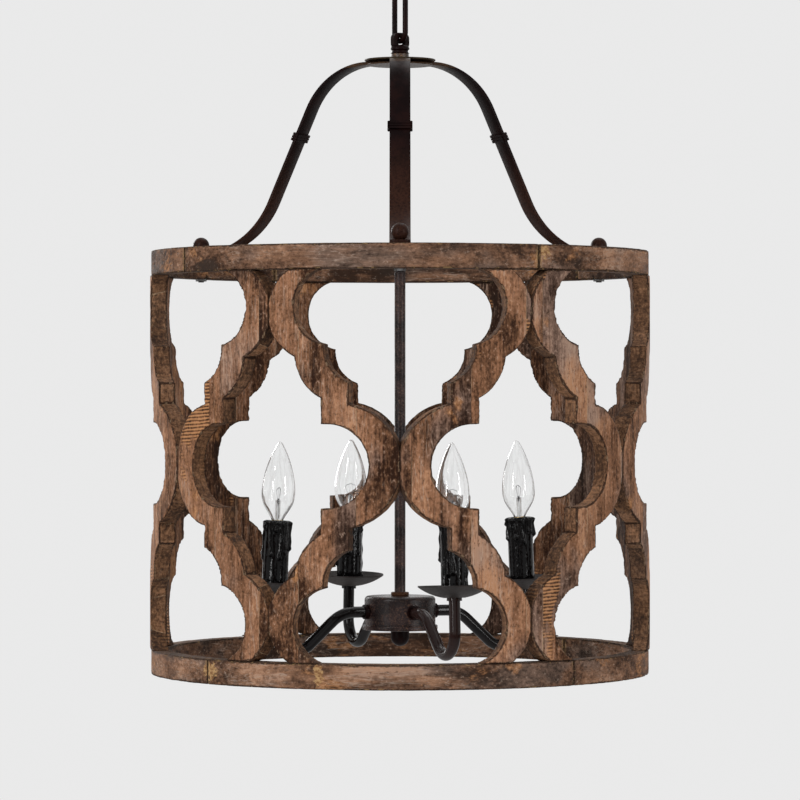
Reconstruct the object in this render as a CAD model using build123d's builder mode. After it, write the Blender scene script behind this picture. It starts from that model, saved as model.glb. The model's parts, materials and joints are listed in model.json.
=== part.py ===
from build123d import *
import math
import os

os.makedirs("parts", exist_ok=True)

# A wooden lattice drum hangs from three bent iron straps and a chain. A four-armed
# candle cluster stands inside it, on a tube that comes down from the straps' hub.
# The origin is the centre of the ceiling fitting, on the ceiling; the front is -Y.
# Azimuths are counted from the front, positive towards +X. All sizes are millimetres.

# Driving dimensions of the wooden drum
ring_diameter = 508.0
ring_height = 25.0
ring_width = 19.5
ribbon_height = 380.0
ribbon_thickness = 17.0
ribbon_stands_proud = 1.2
ribbon_count = 12
glue_gap = 0.2
top_seam_azimuths = (-57.0, 32.0, 127.0, 215.0)
bottom_seam_azimuths = (-48.0, 42.0, 132.0, 222.0)

# Driving dimensions of a ribbon's outline. Insets count from the line where its end
# lobes touch the next ribbon, drops from its end, and rises from its middle height.
lobe_overlap = 0.9
lobe_end_inset = 20.9
lobe_crest_drop = 41.0
lobe_cusp_inset = 27.9
lobe_cusp_drop = 84.7
eye_end_inset = 53.6
eye_crest_inset = 27.2
eye_crest_drop = 36.5
eye_cusp_inset = 58.2
eye_cusp_drop = 72.2
step_radius = 49.3
step_inset = 55.0
step_rise = 65.4
inner_step_radius = 36.1
inner_step_inset = 83.3
inner_step_rise = 81.0
shoulder_rise = 59.8
waist_band = 30.0
waist_eye_radius = 40.5

# Driving dimensions of the straps, their bands and ball bolts, and the hub plates
strap_count = 3
strap_width = 20.8
strap_thickness = 3.0
strap_slope = 64.0
strap_drop = 192.1
crown_gap = 3.0
crown_flat_past_plate = 0.5
foot_bend_radius = 94.0
foot_flat_before_bolt = 6.0
foot_end_clearance = 4.0
foot_corner_radius = 6.0
bolt_inset = 12.0
ball_radius = 8.7
ball_seat_radius = 4.2
bolt_shank_radius = 3.0
bolt_hole_clearance = 0.2
bolt_tip = 1.0
nut_across_flats = 10.0
nut_height = 5.0
nut_stands_out = 2.0
washer_radius = 6.0
washer_thickness = 1.0
nut_pocket_clearance = 0.6
band_rise = 120.5
band_height = 8.4
band_wall = 2.1
band_corner_radius = 1.5
band_ridges = 3
band_groove = 0.7
hub_top_radius = 36.3
hub_bottom_radius = 33.5
hub_plate_thickness = 1.6
hub_plate_fillet = 0.5

# Driving dimensions of the chain, the loops and the ceiling fitting
chain_wire = 5.6
link_length = 58.0
link_width = 24.0
link_count = 3
chain_slack = 0.3
chain_azimuth = 36.0
eye_hole_radius = 3.9
eye_slack = 0.4
eye_wall = 5.1
eye_width = 19.2
eye_thickness = 6.0
eye_shoulder_radius = 6.0
eye_edge_fillet = 2.2
eye_rise = 12.0
barrel_height = 8.5
barrel_radius = 9.7
barrel_waist_radius = 8.3
barrel_top_radius = 7.0
loop_nut_radius = 9.0
loop_nut_height = 6.1
loop_nut_fillet = 0.8
thread_radius = 4.75
thread_clearance = 0.05
wireway_radius = 2.4
shank_in_stem = 15.0
neck_height = 3.0
neck_radius = 5.6
canopy_radius = 63.5
canopy_height = 28.0
canopy_rim_height = 6.0
canopy_crown_radius = 17.0
canopy_wall = 1.2
collar_radius = 14.0
collar_height = 7.0
collar_fillet = 1.5
crossbar_length = 106.0
crossbar_width = 20.0
crossbar_thickness = 2.5
slot_spacing = 88.9
slot_length = 10.0
slot_radius = 2.3
locknut_across_flats = 16.0
locknut_height = 4.0

# Driving dimensions of the stem, the canister, the finial and the arms
stem_radius = 5.6
stem_wall = 0.8
stem_end_above_lid = 6.0
stem_collar_radius = 9.25
stem_collar_height = 4.0
stem_collar_fillet = 1.2
canister_radius = 36.25
canister_height = 29.4
canister_wall = 1.6
canister_top_fillet = 4.0
canister_rise = 48.6
lid_overhang = 2.25
lid_height = 5.0
lid_fillet = 1.2
spigot_height = 3.0
spigot_clearance = 0.15
finial_radius = 9.5
finial_height = 17.0
finial_stud_in_stem = 7.0
wire_exit_radius = 2.0
arm_count = 4
arm_azimuth = 23.0
arm_radius = 5.7
arm_bore_radius = 4.0
arm_below_canister_top = 15.7
arm_stub = 1.65
arm_level_reach = 28.35
arm_slope = 42.5
arm_shoulder_radius = 35.0
arm_turn_radius = 24.0
arm_collar_radius = 7.45
arm_collar_length = 3.8
arm_collar_seat_gap = 0.05
candle_circle_radius = 138.0
candle_rise = 79.5
candle_lean = 2.5

# Driving dimensions of a candle, counted up its own axis from the arm's end
nipple_radius = 4.6
nipple_bore_radius = 3.2
nipple_length = 10.5
nipple_root = 6.0
cup_nut_radius = 7.6
cup_nut_height = 3.0
cup_radius = 36.2
cup_flat_radius = 10.5
cup_bowl_radius = 61.0
cup_wall = 1.4
sleeve_seat_gap = 0.1
candle_radius = 14.5
candle_wall = 2.0
candle_top = 77.5
candle_top_fillet = 1.4
socket_radius = 10.5
socket_foot_radius = 7.5
socket_foot_height = 14.0
socket_below_candle_top = 2.5
lead_hole_radius = 1.6
bulb_base_radius = 5.85
bulb_base_length = 20.0
bulb_base_clearance = 0.1
bulb_above_candle = 0.3
contact_radius = 2.2
contact_height = 1.5
contact_gap = 0.3
bulb_radius = 16.9
bulb_widest_rise = 28.4
bulb_rise = 79.5
bulb_flare = 0.5
bulb_neck_pull = 12.5
bulb_belly_pull = 14.0
bulb_shoulder_pull = 20.5
bulb_tip_pull = 8.5
bulb_tip_radius = 2.7
bulb_tip_taper = 31.0
glass_wall = 0.7
glass_stem_radius = 2.7
glass_stem_bore_radius = 1.7
glass_stem_height = 20.0
filament_wire = 0.6
filament_spacing = 1.6
filament_spread = 6.0
filament_shoulder_rise = 28.0
filament_rise = 33.5
connector_radius = 4.4
connector_tip_radius = 3.0
connector_height = 9.0
connector_circle_radius = 22.0
lead_radius = 1.2
lead_bend_radius = 4.0
lead_in_arm = 4.0

# Heights, worked out downwards from the ceiling
canopy_bottom = -canopy_height
collar_bottom = canopy_bottom - collar_height
bend_radius = (link_width - chain_wire) / 2
ceiling_ring_height = collar_bottom - neck_height - bend_radius
link_step = chain_wire + chain_slack
first_link_top = ceiling_ring_height - bend_radius + link_step
link_pitch = link_length - chain_wire - link_step
last_link_bottom = first_link_top - (link_count - 1) * link_pitch - (link_length - chain_wire)
eye_height = last_link_bottom + chain_wire / 2 + eye_slack - eye_hole_radius
barrel_foot = eye_height - eye_rise
hub_top = barrel_foot - loop_nut_height
strap_top = hub_top - hub_plate_thickness
hub_underside = strap_top - strap_thickness - hub_plate_thickness
crown_centre = strap_top - strap_thickness / 2
foot_centre = crown_centre - strap_drop
ring_top = foot_centre - strap_thickness / 2
top_ring_underside = ring_top - ring_height
drum_middle = top_ring_underside - ribbon_height / 2
bottom_ring_underside = top_ring_underside - ribbon_height - ring_height
lid_top = bottom_ring_underside + canister_rise
canister_top = lid_top + canister_height
arm_height = canister_top - arm_below_canister_top
spigot_top = lid_top + spigot_height
stem_bottom = spigot_top + stem_end_above_lid
finial_top = lid_top - lid_height
candle_height = bottom_ring_underside + candle_rise

# Radii and angles worked out from the driving dimensions
outer_radius = ring_diameter / 2
ribbon_radius = outer_radius + ribbon_stands_proud
bolt_circle_radius = outer_radius - bolt_inset
strap_azimuths = [360 / strap_count * i for i in range(strap_count)]
arm_azimuths = [arm_azimuth + 360 / arm_count * i for i in range(arm_count)]
slope_fall = math.tan(math.radians(strap_slope))
half_turn = math.tan(math.radians(strap_slope / 2))
foot_corner = bolt_circle_radius - foot_flat_before_bolt - foot_bend_radius * half_turn
crown_corner = foot_corner - strap_drop / slope_fall
crown_flat_end = hub_bottom_radius + crown_flat_past_plate
crown_bend_radius = (crown_corner - crown_flat_end) / half_turn
crown_start = strap_width / 2 / math.tan(math.radians(180 / strap_count)) + crown_gap
bolt_hole_radius = bolt_shank_radius + bolt_hole_clearance
nut_corner_radius = nut_across_flats / math.sqrt(3)
nut_pocket_radius = max(washer_radius, nut_corner_radius) + nut_pocket_clearance
nut_pocket_depth = washer_thickness + nut_height - nut_stands_out
thread_hole_radius = thread_radius + thread_clearance
stem_hole_radius = stem_radius + thread_clearance
stem_bore_radius = stem_radius - stem_wall
arm_hole_radius = arm_radius + thread_clearance
nipple_hole_radius = nipple_radius + thread_clearance
lid_radius = canister_radius + lid_overhang
bulb_foot = candle_top + bulb_above_candle
bulb_base_foot = bulb_foot - bulb_base_length
socket_top = candle_top - socket_below_candle_top
socket_hole_radius = bulb_base_radius + bulb_base_clearance
socket_hole_bottom = bulb_base_foot - contact_height - contact_gap


def outward(azimuth):
    """Level unit vector that points away from the axis at this azimuth."""
    angle = math.radians(azimuth)
    return Vector(math.sin(angle), -math.cos(angle), 0)


def facing_plane(azimuth, height):
    """Upright plane on the axis that looks outwards: x runs to the right, y up."""
    return Plane(origin=(0, 0, height), x_dir=outward(azimuth + 90), z_dir=outward(azimuth))


def section_plane(azimuth, height, radius=0.0):
    """Upright plane that holds the axis: x runs outwards, y up."""
    origin = outward(azimuth) * radius + Vector(0, 0, height)
    return Plane(origin=origin, x_dir=outward(azimuth), z_dir=outward(azimuth - 90))


def candle_plane(azimuth):
    """Plane across one candle's axis at the arm's end; the candle leans inwards."""
    lean = math.radians(candle_lean)
    axis = Vector(0, 0, math.cos(lean)) - outward(azimuth) * math.sin(lean)
    foot = outward(azimuth) * candle_circle_radius + Vector(0, 0, candle_height)
    return Plane(origin=foot, x_dir=outward(azimuth + 90), z_dir=axis)


def upright(plane):
    """The plane that holds the given plane's axis: x stays, y runs up the axis."""
    return Plane(origin=plane.origin, x_dir=plane.x_dir, z_dir=-plane.y_dir)


def axis_of(plane):
    """The axis that stands on the given plane at its origin."""
    return Axis(plane.origin, plane.z_dir)


def save(piece, name):
    """Label one finished piece and write its file."""
    piece.part.label = name
    export_step(piece.part, f"parts/{name}.step")


# Wooden drum
def ring_segment(start, end, underside, bolted):
    """One quarter of a wooden ring, with the bolt holes and nut pockets that fall in it."""
    gap = math.degrees(glue_gap / outer_radius)
    bolts = [outward(a) * bolt_circle_radius for a in strap_azimuths if bolted and start < a < end]
    with BuildPart() as segment:
        with BuildSketch(section_plane(start + gap / 2, underside, outer_radius - ring_width / 2)):
            with Locations((0, ring_height / 2)):
                Rectangle(ring_width, ring_height)
        revolve(axis=Axis.Z, revolution_arc=end - start - gap)
        for bolt in bolts:
            with BuildSketch(Plane.XY.offset(underside)):
                with Locations(bolt):
                    Circle(bolt_hole_radius)
            extrude(amount=ring_height, mode=Mode.SUBTRACT)
            with BuildSketch(Plane.XY.offset(underside)):
                with Locations(bolt):
                    Circle(nut_pocket_radius)
            extrude(amount=nut_pocket_depth, mode=Mode.SUBTRACT)
    return segment


for rim, underside, seams in (
    ("top_ring", top_ring_underside, top_seam_azimuths),
    ("bottom_ring", bottom_ring_underside, bottom_seam_azimuths),
):
    for index, seam in enumerate(seams):
        next_seam = seams[index + 1] if index + 1 < len(seams) else seams[0] + 360
        segment = ring_segment(seam, next_seam, underside, rim == "top_ring")
        save(segment, f"{rim}_{index + 1}")


def lattice_ribbon(azimuth, side):
    """One ribbon: its outline, cut square to its middle, out of a curved board.

    The board is a sector of the drum, so neighbours meet on flat strips where their
    lobes touch. With side -1 the outline is mirrored.
    """
    sector = 360 / ribbon_count
    gap = math.degrees(glue_gap / ribbon_radius)
    half_cell = ribbon_radius * math.sin(math.radians(sector / 2))
    end_rise = ribbon_height / 2
    far = 2 * half_cell + lobe_overlap
    waist = 2 * half_cell - waist_band
    reach = far - inner_step_inset
    outer_waist_radius = (reach**2 + shoulder_rise**2) / (2 * reach)

    def at(inset, rise):
        return (side * (inset - half_cell), rise)

    lobe_end = at(lobe_end_inset, end_rise)
    lobe_crest = at(-lobe_overlap, end_rise - lobe_crest_drop)
    lobe_cusp = at(lobe_cusp_inset, end_rise - lobe_cusp_drop)
    eye_end = at(eye_end_inset, end_rise)
    eye_crest = at(eye_crest_inset, end_rise - eye_crest_drop)
    eye_cusp = at(eye_cusp_inset, end_rise - eye_cusp_drop)
    step = at(step_inset, step_rise)
    step_foot = at(step_inset, waist_eye_radius)
    waist_eye = at(waist - waist_eye_radius, waist_eye_radius)
    inner_step = at(inner_step_inset, inner_step_rise)
    shoulder = at(inner_step_inset, shoulder_rise)
    with BuildPart() as ribbon:
        first_side = azimuth - (sector - gap) / 2
        with BuildSketch(section_plane(first_side, drum_middle, ribbon_radius - ribbon_thickness / 2)):
            Rectangle(ribbon_thickness, ribbon_height)
        revolve(axis=Axis.Z, revolution_arc=sector - gap)
        with BuildSketch(facing_plane(azimuth, drum_middle)):
            with BuildLine():
                Line(eye_end, lobe_end)
                ThreePointArc(lobe_end, lobe_crest, lobe_cusp)
                RadiusArc(lobe_cusp, step, -side * step_radius)
                Polyline(step, step_foot, waist_eye)
                RadiusArc(waist_eye, at(waist, 0), side * waist_eye_radius)
                ThreePointArc(eye_end, eye_crest, eye_cusp)
                RadiusArc(eye_cusp, inner_step, -side * inner_step_radius)
                Line(inner_step, shoulder)
                RadiusArc(shoulder, at(far, 0), side * outer_waist_radius)
                mirror(about=Plane.XZ)
            make_face()
        extrude(amount=ribbon_radius + ribbon_thickness, mode=Mode.INTERSECT)
    return ribbon


for index in range(ribbon_count):
    azimuth = 360 / ribbon_count * (index - 0.5)
    side = 1 if index % 2 == 0 else -1
    save(lattice_ribbon(azimuth, side), f"ribbon_{index + 1}")


# Straps, bands and ball bolts
def strap(azimuth):
    """A flat bar: level under the hub plate, down the slope, and level on the ring."""
    with BuildPart() as bar:
        with BuildSketch(section_plane(azimuth, 0)):
            with BuildLine():
                FilletPolyline(
                    (crown_start, crown_centre),
                    (crown_corner, crown_centre),
                    (foot_corner, foot_centre),
                    (outer_radius - foot_end_clearance, foot_centre),
                    radius=[crown_bend_radius, foot_bend_radius],
                )
            trace(line_width=strap_thickness)
        extrude(amount=strap_width / 2, both=True)
        foot_corners = bar.edges().filter_by(Axis.Z).sort_by(Axis.Z)[:2]
        fillet(foot_corners, radius=foot_corner_radius)
        with BuildSketch(Plane.XY.offset(ring_top)):
            with Locations(outward(azimuth) * bolt_circle_radius):
                Circle(bolt_hole_radius)
        extrude(amount=strap_thickness, mode=Mode.SUBTRACT)
    return bar


for index, azimuth in enumerate(strap_azimuths):
    save(strap(azimuth), f"strap_{index + 1}")

with BuildPart() as strap_bands:
    groove_pitch = band_height / band_ridges
    for azimuth in strap_azimuths:
        slope = math.radians(strap_slope)
        along = outward(azimuth) * math.cos(slope) - Vector(0, 0, math.sin(slope))
        radius = foot_corner - (band_rise - strap_thickness / 2) / slope_fall
        centre = outward(azimuth) * radius + Vector(0, 0, ring_top + band_rise)
        across = Plane(origin=centre, x_dir=outward(azimuth + 90), z_dir=along)
        with BuildSketch(across):
            RectangleRounded(
                strap_width + 2 * band_wall, strap_thickness + 2 * band_wall, band_corner_radius
            )
        extrude(amount=band_height / 2, both=True)
        for groove in range(1, band_ridges):
            with BuildSketch(across.offset(groove * groove_pitch - band_height / 2)):
                Rectangle(strap_width + 4 * band_wall, strap_thickness + 4 * band_wall)
                RectangleRounded(
                    strap_width + 2 * (band_wall - band_groove),
                    strap_thickness + 2 * (band_wall - band_groove),
                    band_corner_radius,
                    mode=Mode.SUBTRACT,
                )
            extrude(amount=band_groove / 2, both=True, mode=Mode.SUBTRACT)
        with BuildSketch(across):
            Rectangle(strap_width + 2 * thread_clearance, strap_thickness + 2 * thread_clearance)
        extrude(amount=band_height, both=True, mode=Mode.SUBTRACT)
save(strap_bands, "strap_bands")

with BuildPart() as strap_bolts:
    ball_centre = math.sqrt(ball_radius**2 - ball_seat_radius**2)
    shank_length = strap_thickness + ring_height + nut_stands_out + bolt_tip
    for azimuth in strap_azimuths:
        seat = section_plane(azimuth, ring_top + strap_thickness, bolt_circle_radius)
        with BuildSketch(seat):
            with BuildLine():
                ball_top = ball_centre + ball_radius
                ThreePointArc((ball_seat_radius, 0), (ball_radius, ball_centre), (0, ball_top))
                Polyline(
                    (0, ball_top),
                    (0, -shank_length),
                    (bolt_shank_radius, -shank_length),
                    (bolt_shank_radius, 0),
                    (ball_seat_radius, 0),
                )
            make_face()
        revolve(axis=Axis(seat.origin, Vector(0, 0, 1)))
save(strap_bolts, "strap_bolts")

with BuildPart() as strap_nuts:
    nut_bottom = top_ring_underside - nut_stands_out
    for azimuth in strap_azimuths:
        with BuildSketch(Plane.XY.offset(nut_bottom)):
            with Locations(outward(azimuth) * bolt_circle_radius):
                RegularPolygon(nut_corner_radius, 6)
                Circle(bolt_shank_radius + thread_clearance, mode=Mode.SUBTRACT)
        extrude(amount=nut_height)
        with BuildSketch(Plane.XY.offset(nut_bottom + nut_height)):
            with Locations(outward(azimuth) * bolt_circle_radius):
                Circle(washer_radius)
                Circle(bolt_hole_radius, mode=Mode.SUBTRACT)
        extrude(amount=washer_thickness)
save(strap_nuts, "strap_nuts")


# Hub plates, fixture loop and chain
def hub_plate(radius, underside):
    """A round plate with eased edges and a hole for the loop's shank."""
    with BuildPart() as plate:
        with BuildSketch(Plane.XY.offset(underside)):
            Circle(radius)
            Circle(thread_hole_radius, mode=Mode.SUBTRACT)
        extrude(amount=hub_plate_thickness)
        rim = plate.edges().filter_by(GeomType.CIRCLE).sort_by(SortBy.RADIUS)[-2:]
        fillet(rim, radius=hub_plate_fillet)
    return plate


save(hub_plate(hub_top_radius, strap_top), "hub_top_plate")
save(hub_plate(hub_bottom_radius, hub_underside), "hub_bottom_plate")

with BuildPart() as loop_nut:
    with BuildSketch(Plane.XY.offset(hub_top)):
        Circle(loop_nut_radius)
        Circle(thread_hole_radius, mode=Mode.SUBTRACT)
    extrude(amount=loop_nut_height)
    rim = loop_nut.edges().filter_by(GeomType.CIRCLE).sort_by(SortBy.RADIUS)[-2:]
    fillet(rim, radius=loop_nut_fillet)
save(loop_nut, "loop_nut")

with BuildPart() as fixture_loop:
    barrel_top = barrel_foot + barrel_height
    shank_bottom = hub_underside - shank_in_stem
    with BuildSketch(section_plane(chain_azimuth, 0)):
        with BuildLine():
            ThreePointArc(
                (barrel_radius, barrel_foot),
                (barrel_waist_radius, barrel_foot + barrel_height / 4),
                (barrel_radius, barrel_foot + barrel_height / 2),
            )
            bulge = (barrel_radius, barrel_foot + barrel_height / 2)
            TangentArc(bulge, (barrel_top_radius, barrel_top), tangent=(0, 1))
            Polyline(
                (barrel_top_radius, barrel_top),
                (0, barrel_top),
                (0, shank_bottom),
                (thread_radius, shank_bottom),
                (thread_radius, barrel_foot),
                (barrel_radius, barrel_foot),
            )
        make_face()
    revolve(axis=Axis.Z)
    with BuildSketch(facing_plane(chain_azimuth, eye_height)) as eye_face:
        eye_crown = eye_hole_radius + eye_wall
        eye_root = eye_rise - barrel_height / 2
        with Locations((0, (eye_crown - eye_root) / 2)):
            Rectangle(eye_width, eye_crown + eye_root)
        fillet(eye_face.vertices().group_by(Axis.Z)[-1], radius=eye_shoulder_radius)
        Circle(eye_hole_radius, mode=Mode.SUBTRACT)
    extrude(amount=eye_thickness / 2, both=True)
    hole_edges = fixture_loop.edges().filter_by(
        lambda edge: edge.geom_type == GeomType.CIRCLE
        and abs(edge.radius - eye_hole_radius) < 0.01
        and abs(edge.arc_center.Z - eye_height) < 0.01
    )
    fillet(hole_edges, radius=eye_edge_fillet)
    with BuildSketch(Plane.XY.offset(shank_bottom)):
        Circle(wireway_radius)
    extrude(amount=eye_height - shank_bottom, mode=Mode.SUBTRACT)
save(fixture_loop, "fixture_loop")


def chain_link(azimuth, top):
    """A link of round wire in this upright plane, its upper wire centred at this height."""
    straight = link_length - link_width
    middle = top - bend_radius - straight / 2
    with BuildPart() as link:
        with BuildLine(section_plane(azimuth, middle)):
            leg = Line((bend_radius, -straight / 2), (bend_radius, straight / 2))
            ThreePointArc(
                (bend_radius, straight / 2), (0, straight / 2 + bend_radius), (-bend_radius, straight / 2)
            )
            Line((-bend_radius, straight / 2), (-bend_radius, -straight / 2))
            ThreePointArc(
                (-bend_radius, -straight / 2), (0, -straight / 2 - bend_radius), (bend_radius, -straight / 2)
            )
        with BuildSketch(Plane(origin=leg @ 0, z_dir=leg % 0)):
            Circle(chain_wire / 2)
        sweep()
    return link


for index in range(link_count):
    from_top = link_count - 1 - index
    turn = chain_azimuth if index % 2 == 0 else chain_azimuth + 90
    save(chain_link(turn, first_link_top - from_top * link_pitch), f"chain_link_{index + 1}")

# Ceiling fitting
with BuildPart() as canopy_loop:
    ring_azimuth = chain_azimuth + 90 * link_count
    ring_section = Plane(
        origin=(0, 0, ceiling_ring_height), x_dir=outward(ring_azimuth), z_dir=(0, 0, 1)
    )
    with BuildSketch(ring_section):
        with Locations((bend_radius, 0)):
            Circle(chain_wire / 2)
    revolve(axis=Axis(ring_section.origin, ring_section.y_dir))
    neck_bottom = ceiling_ring_height + bend_radius - chain_wire / 2
    with BuildSketch(Plane.XY.offset(neck_bottom)):
        Circle(neck_radius)
    extrude(amount=collar_bottom - neck_bottom)
    with BuildSketch(Plane.XY.offset(collar_bottom)):
        Circle(thread_radius)
    extrude(amount=-collar_bottom)
    with BuildSketch(Plane.XY.offset(neck_bottom)):
        Circle(wireway_radius)
    extrude(amount=-neck_bottom, mode=Mode.SUBTRACT)
save(canopy_loop, "canopy_loop")

with BuildPart() as canopy_collar:
    with BuildSketch(Plane.XY.offset(collar_bottom)):
        Circle(collar_radius)
    extrude(amount=collar_height)
    fillet(canopy_collar.edges().sort_by(Axis.Z)[0], radius=collar_fillet)
    with BuildSketch(Plane.XY.offset(collar_bottom)):
        Circle(thread_hole_radius)
    extrude(amount=collar_height, mode=Mode.SUBTRACT)
save(canopy_collar, "canopy_collar")

with BuildPart() as canopy:
    with BuildSketch(Plane.XZ):
        with BuildLine():
            Polyline(
                (canopy_crown_radius, canopy_bottom),
                (0, canopy_bottom),
                (0, 0),
                (canopy_radius, 0),
                (canopy_radius, -canopy_rim_height),
            )
            TangentArc(
                (canopy_crown_radius, canopy_bottom), (canopy_radius, -canopy_rim_height), tangent=(1, 0)
            )
        make_face()
    revolve(axis=Axis.Z)
    offset(amount=-canopy_wall, openings=canopy.faces().sort_by(Axis.Z)[-1])
    with BuildSketch(Plane.XY.offset(canopy_bottom)):
        Circle(thread_hole_radius)
    extrude(amount=2 * canopy_wall, mode=Mode.SUBTRACT)
save(canopy, "canopy")

with BuildPart() as crossbar:
    with BuildSketch(Plane.XY.offset(-crossbar_thickness)):
        RectangleRounded(crossbar_length, crossbar_width, crossbar_width / 4)
        with Locations((-slot_spacing / 2, 0), (slot_spacing / 2, 0)):
            SlotOverall(slot_length, 2 * slot_radius, mode=Mode.SUBTRACT)
        Circle(thread_hole_radius, mode=Mode.SUBTRACT)
    extrude(amount=crossbar_thickness)
save(crossbar, "crossbar")

with BuildPart() as crossbar_nut:
    with BuildSketch(Plane.XY.offset(-crossbar_thickness - locknut_height)):
        RegularPolygon(locknut_across_flats / math.sqrt(3), 6)
        Circle(thread_hole_radius, mode=Mode.SUBTRACT)
    extrude(amount=locknut_height)
save(crossbar_nut, "crossbar_nut")

# Stem, canister, lid and finial
with BuildPart() as stem_tube:
    with BuildSketch(Plane.XY.offset(stem_bottom)):
        Circle(stem_radius)
        Circle(stem_bore_radius, mode=Mode.SUBTRACT)
    extrude(amount=hub_underside - stem_bottom)
    wire_exit_height = (stem_bottom + finial_stud_in_stem + canister_top - canister_wall) / 2
    with BuildSketch(facing_plane(0, wire_exit_height)):
        Circle(wire_exit_radius)
    extrude(amount=2 * stem_radius, mode=Mode.SUBTRACT)
save(stem_tube, "stem_tube")

with BuildPart() as canister:
    with BuildSketch(Plane.XY.offset(lid_top)):
        Circle(canister_radius)
    extrude(amount=canister_height)
    fillet(canister.edges().sort_by(Axis.Z)[-1], radius=canister_top_fillet)
    offset(amount=-canister_wall, openings=canister.faces().sort_by(Axis.Z)[0])
    with BuildSketch(Plane.XY.offset(canister_top)):
        Circle(stem_hole_radius)
    extrude(amount=-2 * canister_wall, mode=Mode.SUBTRACT)
    for azimuth in arm_azimuths:
        with BuildSketch(facing_plane(azimuth, arm_height)):
            Circle(arm_hole_radius)
        extrude(amount=canister_radius, mode=Mode.SUBTRACT)
save(canister, "canister")

with BuildPart() as canister_lid:
    with BuildSketch(Plane.XY.offset(finial_top)):
        Circle(lid_radius)
    extrude(amount=lid_height)
    fillet(canister_lid.edges(), radius=lid_fillet)
    with BuildSketch(Plane.XY.offset(lid_top)):
        Circle(canister_radius - canister_wall - spigot_clearance)
    extrude(amount=spigot_height)
    with BuildSketch(Plane.XY.offset(finial_top)):
        Circle(thread_hole_radius)
    extrude(amount=lid_height + spigot_height, mode=Mode.SUBTRACT)
save(canister_lid, "canister_lid")

with BuildPart() as finial:
    stud_top = stem_bottom + finial_stud_in_stem
    ball_top = finial_radius - finial_height
    with BuildSketch(section_plane(0, finial_top)):
        with BuildLine():
            Polyline(
                (0, -finial_height),
                (0, stud_top - finial_top),
                (thread_radius, stud_top - finial_top),
                (thread_radius, 0),
                (finial_radius, 0),
                (finial_radius, ball_top),
            )
            RadiusArc((finial_radius, ball_top), (0, -finial_height), finial_radius)
        make_face()
    revolve(axis=Axis.Z)
save(finial, "finial")


# Arms
def arm(azimuth):
    """A tube out of the canister: level, down a slope, round a turn and up to its candle."""
    slope = math.radians(arm_slope)
    lean = math.radians(candle_lean)
    start = (canister_radius - canister_wall - arm_stub, arm_height)
    shoulder = (canister_radius + arm_level_reach, arm_height)
    across = candle_circle_radius - shoulder[0]
    rise = candle_height - arm_height
    down_slope = (across * math.cos(lean) + rise * math.sin(lean)) / math.cos(slope + lean)
    turn = (
        shoulder[0] + down_slope * math.cos(slope),
        shoulder[1] - down_slope * math.sin(slope),
    )
    foot = candle_plane(azimuth)
    with BuildPart() as tube:
        with BuildLine(section_plane(azimuth, 0)) as route:
            FilletPolyline(
                start,
                shoulder,
                turn,
                (candle_circle_radius, candle_height),
                radius=[arm_shoulder_radius, arm_turn_radius],
            )
        with BuildSketch(facing_plane(azimuth, arm_height).offset(start[0])):
            Circle(arm_radius)
            Circle(arm_bore_radius, mode=Mode.SUBTRACT)
        sweep()
        with BuildSketch(foot.offset(-nipple_root)):
            Circle(nipple_radius)
            Circle(nipple_bore_radius, mode=Mode.SUBTRACT)
        extrude(amount=nipple_root + nipple_length)
    return tube


for index, azimuth in enumerate(arm_azimuths):
    save(arm(azimuth), f"arm_{index + 1}")

with BuildPart() as hub_collars:
    with BuildSketch(Plane.XY.offset(canister_top)):
        Circle(stem_collar_radius)
    extrude(amount=stem_collar_height)
    fillet(hub_collars.edges(), radius=stem_collar_fillet)
    with BuildSketch(Plane.XY.offset(canister_top)):
        Circle(stem_hole_radius)
    extrude(amount=stem_collar_height, mode=Mode.SUBTRACT)
    for azimuth in arm_azimuths:
        with BuildSketch(facing_plane(azimuth, arm_height).offset(canister_radius - arm_collar_length)):
            Circle(arm_collar_radius)
            Circle(arm_hole_radius, mode=Mode.SUBTRACT)
        extrude(amount=2 * arm_collar_length)
    with BuildSketch(Plane.XY.offset(lid_top)):
        Circle(canister_radius + arm_collar_seat_gap)
    extrude(amount=canister_height, mode=Mode.SUBTRACT)
save(hub_collars, "hub_collars")

# Candles
with BuildPart() as cup_nuts:
    for azimuth in arm_azimuths:
        with BuildSketch(candle_plane(azimuth)):
            Circle(cup_nut_radius)
            Circle(nipple_hole_radius, mode=Mode.SUBTRACT)
        extrude(amount=cup_nut_height)
save(cup_nuts, "cup_nuts")


def bowl_rise(radius):
    """Height of the cup's bowl above its flat base at this radius."""
    return math.sqrt(cup_bowl_radius**2 - cup_flat_radius**2) - math.sqrt(cup_bowl_radius**2 - radius**2)


with BuildPart() as drip_cups:
    rim_rise = bowl_rise(cup_radius)
    for azimuth in arm_azimuths:
        base = candle_plane(azimuth).offset(cup_nut_height)
        with BuildSketch(upright(base)):
            with BuildLine():
                RadiusArc((cup_flat_radius, 0), (cup_radius, rim_rise), -cup_bowl_radius)
                Line((cup_radius, rim_rise), (cup_radius, rim_rise + cup_wall))
                RadiusArc((cup_flat_radius, cup_wall), (cup_radius, rim_rise + cup_wall), -cup_bowl_radius)
                Polyline(
                    (cup_flat_radius, cup_wall),
                    (nipple_hole_radius, cup_wall),
                    (nipple_hole_radius, 0),
                    (cup_flat_radius, 0),
                )
            make_face()
        revolve(axis=axis_of(base))
save(drip_cups, "drip_cups")

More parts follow.
